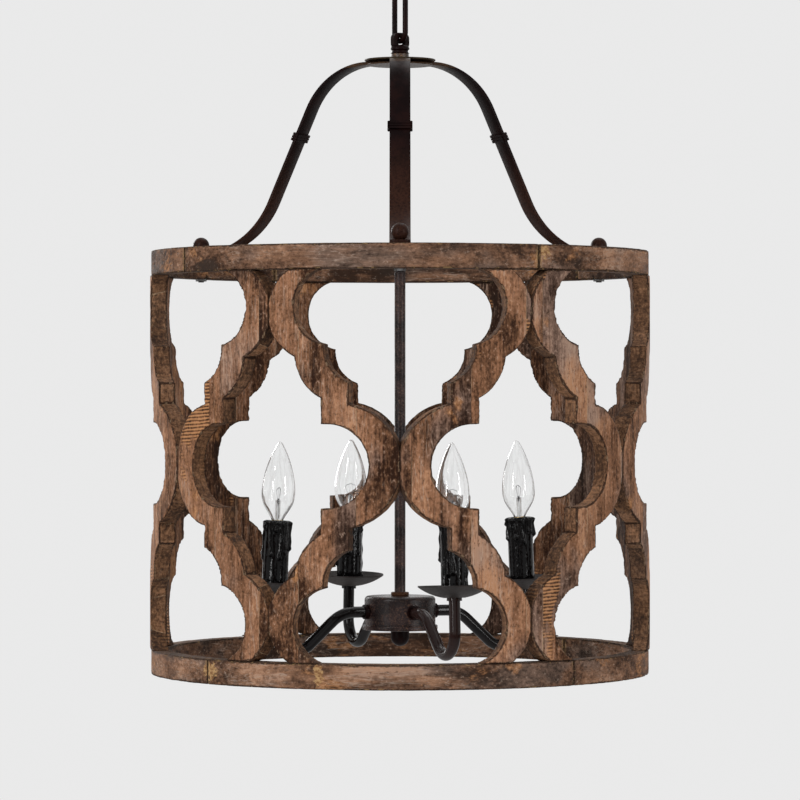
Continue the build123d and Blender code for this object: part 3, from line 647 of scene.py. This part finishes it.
def sharp_points(piece):
    """Points along the sharp edges, in a tree that finds the nearest."""
    mesh = bmesh.new()
    mesh.from_mesh(piece.data)
    found = []
    for edge in mesh.edges:
        if len(edge.link_faces) == 2 and edge.calc_face_angle() > sharp_angle:
            start, end = edge.verts[0].co, edge.verts[1].co
            count = max(1, math.ceil((end - start).length / sample_step))
            found += [start.lerp(end, i / count) for i in range(count + 1)]
    mesh.free()
    tree = kdtree.KDTree(len(found))
    for i, point in enumerate(found):
        tree.insert(point, i)
    tree.balance()
    return tree


def seam_nearness(point, middle, half_span):
    """How near a point of a ring quarter lies to the quarter's ends, from 0 to 1."""
    off = (math.atan2(point.x, -point.y) - middle + math.pi) % (2 * math.pi) - math.pi
    return max(0.0, 1 - (half_span - abs(off)) * drum_radius / seam_reach)


def spot_nearness(point, spots):
    """How near a point of the drum lies to the nearest spot of a list, from 0 to 1."""
    nearest = 0.0
    for azimuth, height, half_width, half_height in spots:
        above = (point.z - height) / half_height
        if abs(above) < 2:
            off = math.degrees(math.atan2(point.x, -point.y)) - azimuth
            aside = math.radians(off) * drum_radius / half_width
            nearest = max(nearest, math.exp(-(aside ** 2) - above ** 2))
    return nearest


def worn_board(node, body, material, number, warmth=0.0, middle=0.0, half_span=math.pi):
    """Replace a wooden node with a copy that has worn arrises and tool marks."""
    piece = merged_copy(node, node + "_worn")
    nearest_arris = sharp_points(piece)
    solid = piece.copy()
    solid.data = piece.data.copy()
    scene.collection.objects.link(solid)
    remesh = piece.modifiers.new("even_faces", "REMESH")
    remesh.mode = "VOXEL"
    remesh.voxel_size = voxel
    wrap = piece.modifiers.new("true_faces", "SHRINKWRAP")
    wrap.target = solid
    bpy.ops.object.modifier_apply(modifier="even_faces")
    bpy.ops.object.modifier_apply(modifier="true_faces")
    bpy.data.objects.remove(solid)
    mesh = piece.data
    painting = {name: [] for name in ("arris", "sawn", "seam", "inner", "milled", "filled")}
    drift = Vector((number * 3.1, number * 1.7, number * 2.3))
    points = [vertex.co.copy() for vertex in mesh.vertices]
    normals = [vertex.normal.copy() for vertex in mesh.vertices]
    for vertex, point, normal in zip(mesh.vertices, points, normals):
        on_arris, _, distance = nearest_arris.find(point)
        if distance < arris_pull * voxel:
            point = on_arris
            distance = 0.0
        near = max(0.0, 1 - distance / arris_reach)
        radial = Vector((point.x, point.y, 0)).normalized()
        facing = normal.dot(radial)
        painting["sawn"].append(min(1.0, max(0.0, (0.75 - abs(facing)) / 0.4)))
        # How far a face looks into the drum, for the painted shade there.
        painting["inner"].append(min(1.0, max(0.0, -facing)))
        painting["milled"].append(spot_nearness(point, saw_spots))
        painting["filled"].append(spot_nearness(point, filler_spots) * max(0.0, facing))
        painting["arris"].append(near)
        painting["seam"].append(seam_nearness(point, middle, half_span))
        chip = max(0.0, noise.noise(point * chip_scale + drift) - chip_floor)
        nick = max(0.0, noise.noise(point * nick_scale + drift) - nick_floor)
        wear = near * near * (even_wear + chip_depth * chip + nick_depth * nick)
        ripple = ripple_height * noise.noise(point * ripple_scale + drift)
        vertex.co = point - normal * (wear - ripple) * millimetre
    for name, value in (("board", number), ("quarter", -middle), ("warmth", warmth)):
        painting[name] = [value] * len(points)
    for name, values in painting.items():
        painted = mesh.attributes.new(name, "FLOAT", "POINT")
        painted.data.foreach_set("value", values)
    select_only(piece)
    bpy.ops.object.shade_smooth()
    mesh.materials.append(material)
    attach(piece, body)
    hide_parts(node)


# %% [markdown]
# Each ribbon gets a number of its own, which shifts its pattern, and the ribbons on the
# left are a little warmer than those on the right.

# %% Wear the ribbons
wear_seed = 7
draws = random.Random(wear_seed)
ribbon_warmth = 0.05
warm_side = 0.15
ribbon_count = 12
for number in range(1, ribbon_count + 1):
    low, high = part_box(f"ribbon_{number}")
    side = (low[0] + high[0]) / 2 / warm_side
    warmth = ribbon_warmth * max(-1.0, min(1.0, -side))
    worn_board(f"ribbon_{number}", "fixture", ribbon_wood, draws.random(), warmth)
print("ribbons worn", ribbon_count)

# %% [markdown]
# The rings' quarters are known by the azimuths, in degrees, at which they start.

# %% Wear the rings
seams = {"top": (-57, 32, 127, 215), "bottom": (-48, 42, 132, 222)}
for ring, starts in seams.items():
    ends = starts[1:] + (starts[0] + 360,)
    for number, (start, end) in enumerate(zip(starts, ends), 1):
        middle = math.radians((start + end) / 2)
        half_span = math.radians((end - start) / 2)
        node = f"{ring}_ring_{number}"
        worn_board(node, "fixture", ring_wood, draws.random(), 0.0, middle, half_span)
print("ring quarters worn", 2 * len(seams["top"]))

# %% [markdown]
# The iron is painted nearly black over a warm red-brown undercoat that shows through
# where hands and bolts rubbed it: on the straps' crowns under the hub's plate, on the
# collar of the stem and on the straps' rusty feet. These places go by height. The
# mottled finish on the canister and stem is the same paint sponged with rust, and the
# sponge went on over the front arm, whose enamel is browner than the others'.


# %% Iron and enamel
cloud_scale = 38
iron_grit_scale = 1100
pit_shift = (0.3, 0.1, 0.2)
plain_pits = 0.2


def painted_iron(name, looks):
    """Dark paint with an undercoat showing in clouds, rusty specks, and tints by height.

    A tint is the heights it lies between, how far it fades, its colour and its share.
    """
    iron = Finish(name, specular=looks["specular"])
    place = iron.place()
    cloud = iron.noise(place, cloud_scale, detail=5, roughness=0.6)
    grit = iron.noise(place, iron_grit_scale, detail=3)
    speck = iron.noise(place, looks["speck_scale"], detail=5, roughness=0.72)
    colour = iron.over(iron.between(cloud, 0.4, 0.62), looks["coat"], looks["undercoat"])
    height = iron.put("SeparateXYZ", {0: place}).outputs[2]
    for low, high, fade, tint, share in looks.get("tints", ()):
        rise = iron.between(height, low - fade, low + fade)
        fall = iron.between(height, high - fade, high + fade, 1.0, 0.0)
        zone = iron.times(rise, fall)
        zone = iron.times(zone, iron.between(speck, 0.36, 0.56, 0.3, 1.0))
        colour = iron.over(iron.times(zone, share), colour, tint)
    if "sponged" in looks:
        towards, start, end = looks["sponged"]
        reach = iron.put("VectorMath", {0: place, 1: towards}, operation="DOT_PRODUCT")
        sponged = iron.between(reach.outputs["Value"], start, end)
        colour = iron.over(iron.times(sponged, 0.75), colour, looks["sponge_tone"])
        rusty = iron.times(sponged, iron.between(speck, 0.52, 0.6, 0.0, 0.7))
    else:
        start = looks["rust_from"]
        rusty = iron.between(speck, start, start + 0.07, 0.0, looks["rust_share"])
    rusty = iron.times(rusty, iron.between(cloud, 0.42, 0.56, 0.3, 1.0))
    colour = iron.over(rusty, colour, looks["rust"])
    moved = iron.stretched(place, (1, 1, 1), pit_shift)
    pits = iron.noise(moved, looks["speck_scale"] * 0.8, detail=3, roughness=0.6)
    pits = iron.between(pits, 0.38, 0.47, looks.get("pitted", plain_pits), 0.0)
    colour = iron.over(pits, colour, looks["coat"])
    rough = iron.between(speck, 0.42, 0.66, 0.0, looks["dull"])
    rough = iron.maths("ADD", rough, looks["roughness"])
    normal = iron.dent(grit, 0.0002, looks["bump"])
    normal = iron.dent(speck, 0.0005, looks["bump"], normal)
    return iron.paint(colour, rough, normal)


finishes = {
    "dark_iron": painted_iron("dark_iron", {
        "coat": (0.0045, 0.0012, 0.0013), "undercoat": (0.011, 0.0032, 0.0028),
        "rust": (0.060, 0.022, 0.011), "rust_from": 0.62, "rust_share": 0.45,
        "roughness": 0.32, "specular": 0.06, "speck_scale": 420, "dull": 0.12, "bump": 0.3,
        "tints": (
            (-0.2164, -0.2147, 0.0002, (0.075, 0.055, 0.030), 0.6),
            (-0.2215, -0.2164, 0.0006, (0.120, 0.066, 0.034), 0.5),
            (-0.7640, -0.7585, 0.0004, (0.120, 0.055, 0.028), 0.7),
            (-0.4200, -0.3300, 0.0350, (0.055, 0.022, 0.013), 0.6),
        ),
    }),
    "gold_brown_iron": painted_iron("gold_brown_iron", {
        "coat": (0.026, 0.015, 0.010), "undercoat": (0.070, 0.038, 0.022),
        "rust": (0.28, 0.16, 0.08), "rust_from": 0.55, "rust_share": 0.7,
        "roughness": 0.34, "specular": 0.4, "speck_scale": 300, "dull": 0.12, "bump": 0.35,
    }),
    "mottled_iron": painted_iron("mottled_iron", {
        "coat": (0.010, 0.0055, 0.0055), "undercoat": (0.048, 0.029, 0.027),
        "rust": (0.150, 0.070, 0.036), "rust_from": 0.54, "rust_share": 0.75,
        "roughness": 0.2, "specular": 0.22, "speck_scale": 520, "dull": 0.2, "bump": 0.4,
        "pitted": 0.7,
    }),
    "black_enamel": painted_iron("black_enamel", {
        "coat": (0.0035, 0.0028, 0.0029), "undercoat": (0.0065, 0.0046, 0.0045),
        "rust": (0.03, 0.014, 0.009),
        "roughness": 0.1, "specular": 0.18, "speck_scale": 520, "dull": 0.06, "bump": 0.06,
        "sponged": ((0.39, -0.92, 0.0), 0.032, 0.044), "sponge_tone": (0.030, 0.015, 0.0135),
    }),
    "cup_enamel": painted_iron("cup_enamel", {
        "coat": (0.022, 0.0175, 0.0165), "undercoat": (0.034, 0.027, 0.025),
        "rust": (0.06, 0.038, 0.028), "rust_from": 0.62, "rust_share": 0.5,
        "roughness": 0.46, "specular": 0.25, "speck_scale": 480, "dull": 0.12, "bump": 0.25,
    }),
}
print("iron finishes", sorted(finishes))

# %% [markdown]
# The small parts have plainer finishes: brass screw shells, dulled zinc hardware with
# its frosty spangle, dark moulded sockets and braided lead sleeving.

# %% Brass, zinc, socket and sleeving
brass = Finish("brass", metallic=1.0)
tarnish = brass.noise(brass.place(), 260, detail=4)
finishes["brass"] = brass.paint(
    brass.ramp(tarnish, [(0.35, (0.55, 0.36, 0.13)), (0.65, (0.83, 0.62, 0.27))]),
    brass.between(tarnish, 0.3, 0.7, 0.38, 0.2),
    brass.dent(brass.noise(brass.place(), 1500), 0.0001, 0.3),
)

zinc = Finish("zinc_steel", metallic=1.0)
spangle = zinc.put("TexVoronoi", {"Vector": zinc.place(), "Scale": 220.0}).outputs["Distance"]
finishes["zinc_steel"] = zinc.paint(
    zinc.ramp(spangle, [(0.1, (0.13, 0.13, 0.13)), (0.7, (0.24, 0.24, 0.24))]),
    zinc.between(spangle, 0.0, 0.8, 0.55, 0.38),
    zinc.dent(zinc.noise(zinc.place(), 700), 0.0001, 0.4),
)

socket = Finish("socket_plastic", specular=0.4)
mould_mark = socket.noise(socket.place(), 500, detail=3)
finishes["socket_plastic"] = socket.paint(
    socket.ramp(mould_mark, [(0.3, (0.030, 0.028, 0.027)), (0.7, (0.045, 0.042, 0.040))]),
    socket.between(mould_mark, 0.3, 0.7, 0.38, 0.55),
    socket.dent(mould_mark, 0.0001, 0.5),
)

sleeving = Finish("wire_sleeving", specular=0.3)
braid = sleeving.put(
    "TexWave",
    {"Vector": sleeving.place(), "Scale": 900.0, "Distortion": 2.0},
    bands_direction="DIAGONAL",
).outputs["Fac"]
finishes["wire_sleeving"] = sleeving.paint(
    sleeving.ramp(braid, [(0.2, (0.35, 0.33, 0.28)), (0.8, (0.62, 0.60, 0.54))]),
    0.7,
    sleeving.dent(braid, 0.0002, 0.6),
)
print("small finishes", len(finishes))

# %% [markdown]
# Bulb glass is thin and clear. The faint ripple of blown glass is all that its surface
# shows, so the bump is very small and the shader does the rest.

# %% Glass
glass = Finish("clear_glass", roughness=0.0)
glass.shader.inputs["Transmission Weight"].default_value = 1.0
glass.shader.inputs["IOR"].default_value = 1.47
ripple = glass.noise(glass.place(), 60, detail=1)
finishes["clear_glass"] = glass.paint(
    glass.ramp(ripple, [(0.3, (0.985, 0.99, 0.988)), (0.7, (1, 1, 1))]),
    glass.between(ripple, 0.3, 0.7, 0.0, 0.015),
    glass.dent(ripple, 0.0003, 0.15),
)
print("glass made")

# %% [markdown]
# The sleeves imitate wax that ran down in black. The wax is thick and glossy, with long
# narrow highlights on every run.

# %% Wax
wax = Finish("black_wax", specular=0.16)
skin = wax.noise(wax.place(), 220, detail=3)
finishes["black_wax"] = wax.paint(
    wax.ramp(skin, [(0.3, (0.0016, 0.0014, 0.0015)), (0.7, (0.0045, 0.0038, 0.0041))]),
    wax.between(skin, 0.3, 0.7, 0.07, 0.13),
    wax.dent(skin, 0.0008, 0.4),
)
print("wax made")

# %% [markdown]
# Every solid that keeps its own mesh gets the finish that the record names for it.

# %% Finish the solids
node_slots = {part["node"]: part["material_slot"] for part in frame["record"]["subparts"]}
for node, body in frame["nodes"].items():
    if node_slots[node] in finishes:
        body.data.materials.clear()
        body.data.materials.append(finishes[node_slots[node]])
print("solids finished", sum(slot in finishes for slot in node_slots.values()))

# %% [markdown]
# A candle sleeve is a lathe job first: a profile is spun round its axis. Then the runs
# are raised. Each run starts at the rim, wanders a little, and ends in a swollen drop.


# %% Lathe helper
def outward(azimuth):
    """Level unit vector away from the axis; azimuths count from the front towards +X."""
    angle = math.radians(azimuth)
    return Vector((math.sin(angle), -math.cos(angle), 0))


arm_azimuths = (23, 113, 203, 293)
candle_circle = 0.138
candle_foot_height = -0.7619
candle_lean = math.radians(2.5)


def candle_frame(azimuth):
    """The matrix that stands a piece on an arm's end; its z is the candle's axis."""
    out = outward(azimuth)
    up = Vector((0, 0, math.cos(candle_lean))) - out * math.sin(candle_lean)
    side = outward(azimuth + 90)
    foot = out * candle_circle + Vector((0, 0, candle_foot_height))
    turn = Matrix((side, up.cross(side), up)).transposed().to_4x4()
    return Matrix.Translation(foot) @ turn


def turned(name, profile, steps, closed=True):
    """Spin a profile of (radius, height) points, in millimetres, about the z axis."""
    mesh = bpy.data.meshes.new(name)
    points = [(radius * millimetre, 0, height * millimetre) for radius, height in profile]
    edges = [(i, i + 1) for i in range(len(points) - 1)]
    if closed:
        edges.append((len(points) - 1, 0))
    mesh.from_pydata(points, edges, [])
    piece = bpy.data.objects.new(name, mesh)
    scene.collection.objects.link(piece)
    edit_all(piece)
    bpy.ops.mesh.spin(steps=steps, angle=2 * math.pi, center=(0, 0, 0), axis=(0, 0, 1))
    bpy.ops.mesh.select_all(action="SELECT")
    bpy.ops.mesh.remove_doubles(threshold=0.004 * millimetre)
    bpy.ops.mesh.normals_make_consistent(inside=False)
    bpy.ops.object.mode_set(mode="OBJECT")
    return piece


# %% [markdown]
# A sleeve's measures are in millimetres, before it is stood on its arm.

# %% Candle sleeves
sleeve_foot = 5.4
sleeve_top = 77.5
sleeve_radius = 13.0
sleeve_bore = 12.4
mouth_radius = 8.6
rim_round = 2.4
rim_angles = (0.35, 0.8, 1.2, 1.57)
wax_seed = 40
run_count = 13
run_lengths = (9, 15, 22, 30, 38, 52, 66)
wander_angle, wander_rate = 0.06, 0.09
lump_size, lump_rate = 0.2, 0.4
drop_size, drop_rise, drop_reach = 0.5, 2.2, 2.3
end_sharpness = 2.0
ridge_power = 2.2
lip_swell = 0.6
lip_reach = 2.2
rim_sag = 0.35
row_height = 0.75
sleeve_steps = 144


def wax_runs(seed):
    """The runs of one candle: azimuth, half width, length, thickness, wander."""
    draw = random.Random(seed)
    runs = []
    for i in range(run_count):
        azimuth = (i + draw.uniform(-0.35, 0.35)) / run_count * 2 * math.pi
        length = draw.choice(run_lengths) + draw.uniform(-3, 3)
        half_width = draw.uniform(1.4, 2.3)
        thickness = draw.uniform(1.3, 2.3)
        runs.append((azimuth, half_width, length, thickness, draw.uniform(0, 6)))
    return runs


def run_height(angle, height, runs):
    """How far the wax stands out at a point of the sleeve, in millimetres."""
    tallest = 0.0
    depth = sleeve_top - height
    for azimuth, half_width, length, thickness, phase in runs:
        middle = azimuth + wander_angle * math.sin(height * wander_rate + phase)
        off = (angle - middle + math.pi) % (2 * math.pi) - math.pi
        aside = off * sleeve_radius / half_width
        if abs(aside) > 2.0:
            continue
        past_end = depth - length
        along = 1 / (1 + math.exp(max(-30.0, min(30.0, past_end * end_sharpness))))
        drop = drop_size * math.exp(-((past_end + drop_rise) / drop_reach) ** 2)
        lump = lump_size * math.sin(height * lump_rate + phase * 2)
        section = math.exp(-abs(aside) ** ridge_power)
        tallest = max(tallest, thickness * (along * (1 + lump) + drop) * section)
    return tallest


def candle_sleeve(number, azimuth):
    """One sleeve with its wax runs, in place."""
    wall_height = sleeve_top - rim_round - sleeve_foot
    rows = int(wall_height / row_height)
    wall = [(sleeve_radius, sleeve_foot + wall_height * i / rows) for i in range(rows + 1)]
    rim_radius, rim_foot = sleeve_radius - rim_round, sleeve_top - rim_round
    rim = [
        (rim_radius + rim_round * math.cos(a), rim_foot + rim_round * math.sin(a))
        for a in rim_angles
    ]
    mouth = [
        (10.8, sleeve_top + 0.1),
        (mouth_radius + 0.6, sleeve_top - 0.2),
        (mouth_radius, sleeve_top - 0.8),
    ]
    bore = [
        (mouth_radius, sleeve_top - 2.0),
        (sleeve_bore, sleeve_top - 3.0),
        (sleeve_bore, sleeve_foot),
    ]
    sleeve = turned(f"candle_{number}", wall + rim + mouth + bore, sleeve_steps)
    runs = wax_runs(wax_seed + number)
    drift = Vector((number * 5.0, 0, 0))
    for vertex in sleeve.data.vertices:
        point = vertex.co / millimetre
        radius = math.hypot(point.x, point.y)
        in_bore = radius < sleeve_bore + 0.1 and point.z < sleeve_top - 2.5
        if radius < mouth_radius + 1.2 or in_bore:
            continue
        angle = math.atan2(point.y, point.x)
        share = min(1.0, (radius - mouth_radius - 1.2) / 3)
        raised = run_height(angle, point.z, runs) + 0.12 * noise.noise(point * 0.35 + drift)
        lip = lip_swell * math.exp(-((sleeve_top - rim_round - point.z) / lip_reach) ** 2)
        lip *= 1 + 0.5 * math.sin(angle * 3 + number)
        outwards = Vector((point.x, point.y, 0)).normalized() * (raised + lip) * share
        sag = Vector()
        if point.z > sleeve_top - 1:
            sag.z = rim_sag * noise.noise(Vector((angle, number, 0)) * 2)
        vertex.co = (point + outwards + sag * share) * millimetre
    sleeve.data.transform(candle_frame(azimuth))
    sleeve.data.materials.append(finishes["black_wax"])
    return sleeve


sleeves = [candle_sleeve(i, azimuth) for i, azimuth in enumerate(arm_azimuths, 1)]
wax_sleeves = joined(sleeves, "dripping_sleeves")
bpy.ops.object.shade_smooth()
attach(wax_sleeves, "fixture")
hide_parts("candle_sleeves")
print("sleeve faces", len(wax_sleeves.data.polygons))

# %% [markdown]
# The straps were sheared from flat bar, then filed. A small bevel on every sharp edge
# catches the light as the filed edges do.


# %% Eased metal
filed_edge = 0.5
filed_segments = 2


def eased_metal(node, body):
    """Replace a metal node with a copy whose sharp edges are filed round."""
    piece = merged_copy(node, node + "_filed")
    edit_all(piece)
    bpy.ops.mesh.dissolve_limited(angle_limit=math.radians(0.5))
    bpy.ops.object.mode_set(mode="OBJECT")
    bevel = piece.modifiers.new("filed", "BEVEL")
    bevel.width = filed_edge * millimetre
    bevel.segments = filed_segments
    bevel.limit_method = "ANGLE"
    bevel.angle_limit = math.radians(40)
    bpy.ops.object.modifier_apply(modifier="filed")
    bpy.ops.object.shade_smooth_by_angle(angle=math.radians(30))
    piece.data.materials.append(finishes[node_slots[node]])
    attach(piece, body)
    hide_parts(node)


for number in (1, 2, 3):
    eased_metal(f"strap_{number}", "fixture")
print("straps filed")

# %% [markdown]
# Inside each bulb a glass stem carries two lead wires, two supports, a dark bead that
# holds them, and the coiled filament that arches between them. They are only a few
# tenths of a millimetre thick, which is why they read as faint lines.

# %% Filaments
bulb_foot = 77.8
lead_wire = 0.17
support_wire = 0.13
coil_wire = 0.09
coil_turns = 16
coil_steps = 6
coil_radius = 0.26
coil_arch = 0.7
lead_path = ((0.9, -12), (0.9, 14), (1.9, 20), (5.4, 28), (6.1, 29.6))
support_path = ((0.5, 14), (1.2, 20), (2.0, 27), (2.3, 32.2))
coil_anchors = ((-6.0, 0.1, 29.4), (-2.3, 0.6, 32.0), (2.3, 0.6, 32.0), (6.0, 0.1, 29.4))
bead_profile = ((0.0, -2.8), (0.8, -2.2), (1.2, -0.6), (1.1, 1.0), (0.6, 2.4), (0.0, 2.8))
bead_height = 19
bead_steps = 16


def wire(name, points, radius, material):
    """A round wire along points in millimetres, made a mesh."""
    data = bpy.data.curves.new(name, "CURVE")
    data.dimensions = "3D"
    spline = data.splines.new("NURBS")
    spline.points.add(len(points) - 1)
    for target, point in zip(spline.points, points):
        target.co = (*[v * millimetre for v in point], 1)
    spline.order_u = 3
    spline.use_endpoint_u = True
    data.bevel_depth = radius * millimetre
    data.bevel_resolution = 2
    data.use_fill_caps = True
    piece = bpy.data.objects.new(name, data)
    scene.collection.objects.link(piece)
    select_only(piece)
    bpy.ops.object.convert(target="MESH")
    piece.data.materials.append(material)
    return piece


tungsten = Finish("tungsten", roughness=0.45, metallic=1.0)
soot = tungsten.noise(tungsten.place(), 900)
tungsten_finish = tungsten.paint(
    tungsten.ramp(soot, [(0.3, (0.10, 0.10, 0.105)), (0.7, (0.26, 0.26, 0.27))])
)


def coil(start, end):
    """Points of a helix from start to end, arching a little in its middle."""
    points = []
    for i in range(coil_turns * coil_steps + 1):
        t = i / (coil_turns * coil_steps)
        angle = t * coil_turns * 2 * math.pi
        round_wire = Vector((0, math.cos(angle), math.sin(angle))) * coil_radius
        point = start.lerp(end, t) + round_wire
        point.z += coil_arch * 4 * t * (1 - t)
        points.append(point)
    return points


def filament(number, azimuth):
    """The wires inside one bulb, as one piece in place."""
    parts = []
    for side, hand in ((-1, "left"), (1, "right")):
        lead = [(side * x, 0.1, bulb_foot + z) for x, z in lead_path]
        parts.append(wire(f"lead_{hand}", lead, lead_wire, tungsten_finish))
        support = [(side * x, 0.7, bulb_foot + z) for x, z in support_path]
        parts.append(wire(f"support_{hand}", support, support_wire, tungsten_finish))
    anchors = [Vector((x, y, bulb_foot + z)) for x, y, z in coil_anchors]
    for start, end in zip(anchors, anchors[1:]):
        parts.append(wire("coil", coil(start, end), coil_wire, tungsten_finish))
    bead = turned("bead", bead_profile, bead_steps, closed=False)
    bead_place = Vector((0, 0.3, bulb_foot + bead_height)) * millimetre
    bead.data.transform(Matrix.Translation(bead_place))
    bead.data.materials.append(tungsten_finish)
    parts.append(bead)
    piece = joined(parts, f"filament_{number}")
    piece.data.transform(candle_frame(azimuth))
    bpy.ops.object.shade_smooth()
    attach(piece, f"bulb_{number}")


# %% [markdown]
# A bulb's foot is a thin brass shell rolled into a round thread. The thread is a cosine
# wave that climbs by a pitch each turn and fades out at both ends of the shell.

# %% Screw bases
shell_radius = 5.85
shell_height = 20
shell_rows = 42
shell_steps = 48
thread_start = 3.0
thread_fade = 2
thread_depth = 0.45
thread_pitch = 2.6
contact_profile = ((0.0, -1.5), (1.6, -1.45), (2.2, -0.7), (2.3, 0.0), (4.2, 1.2), (5.3, 2.2))


def screw_base(number, azimuth):
    """A brass shell with a rolled thread and a soldered contact, replacing the plain one."""
    low, high = bulb_foot - shell_height, bulb_foot
    wall_height = high - low - thread_start
    wall = [
        (shell_radius, low + thread_start + wall_height * i / shell_rows)
        for i in range(shell_rows + 1)
    ]
    foot = [(radius, low + height) for radius, height in contact_profile]
    head = [(4.6, high), (0.0, high)]
    piece = turned(f"screw_base_{number}", foot + wall + head, shell_steps, closed=False)
    for vertex in piece.data.vertices:
        point = vertex.co / millimetre
        radius = math.hypot(point.x, point.y)
        if abs(radius - shell_radius) > 0.01:
            continue
        fade_in = (point.z - low - thread_start) / thread_fade
        fade_out = (high - thread_start - point.z) / thread_fade
        fade = max(0.0, min(1.0, fade_in, fade_out))
        turn = 2 * math.pi * point.z / thread_pitch - math.atan2(point.y, point.x)
        shrink = 1 - thread_depth * fade * (0.5 - 0.5 * math.cos(turn)) / shell_radius
        vertex.co = Vector((point.x * shrink, point.y * shrink, point.z)) * millimetre
    piece.data.transform(candle_frame(azimuth))
    piece.data.materials.append(finishes["brass"])
    select_only(piece)
    bpy.ops.object.shade_smooth_by_angle(angle=math.radians(40))
    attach(piece, f"bulb_{number}")
    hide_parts(f"bulb_base_{number}")


for number, azimuth in enumerate(arm_azimuths, 1):
    filament(number, azimuth)
    screw_base(number, azimuth)
print("bulbs dressed", len(arm_azimuths))

# %% [markdown]
# Last, nothing is left selected.

# %% Leave nothing selected
bpy.ops.object.select_all(action="DESELECT")
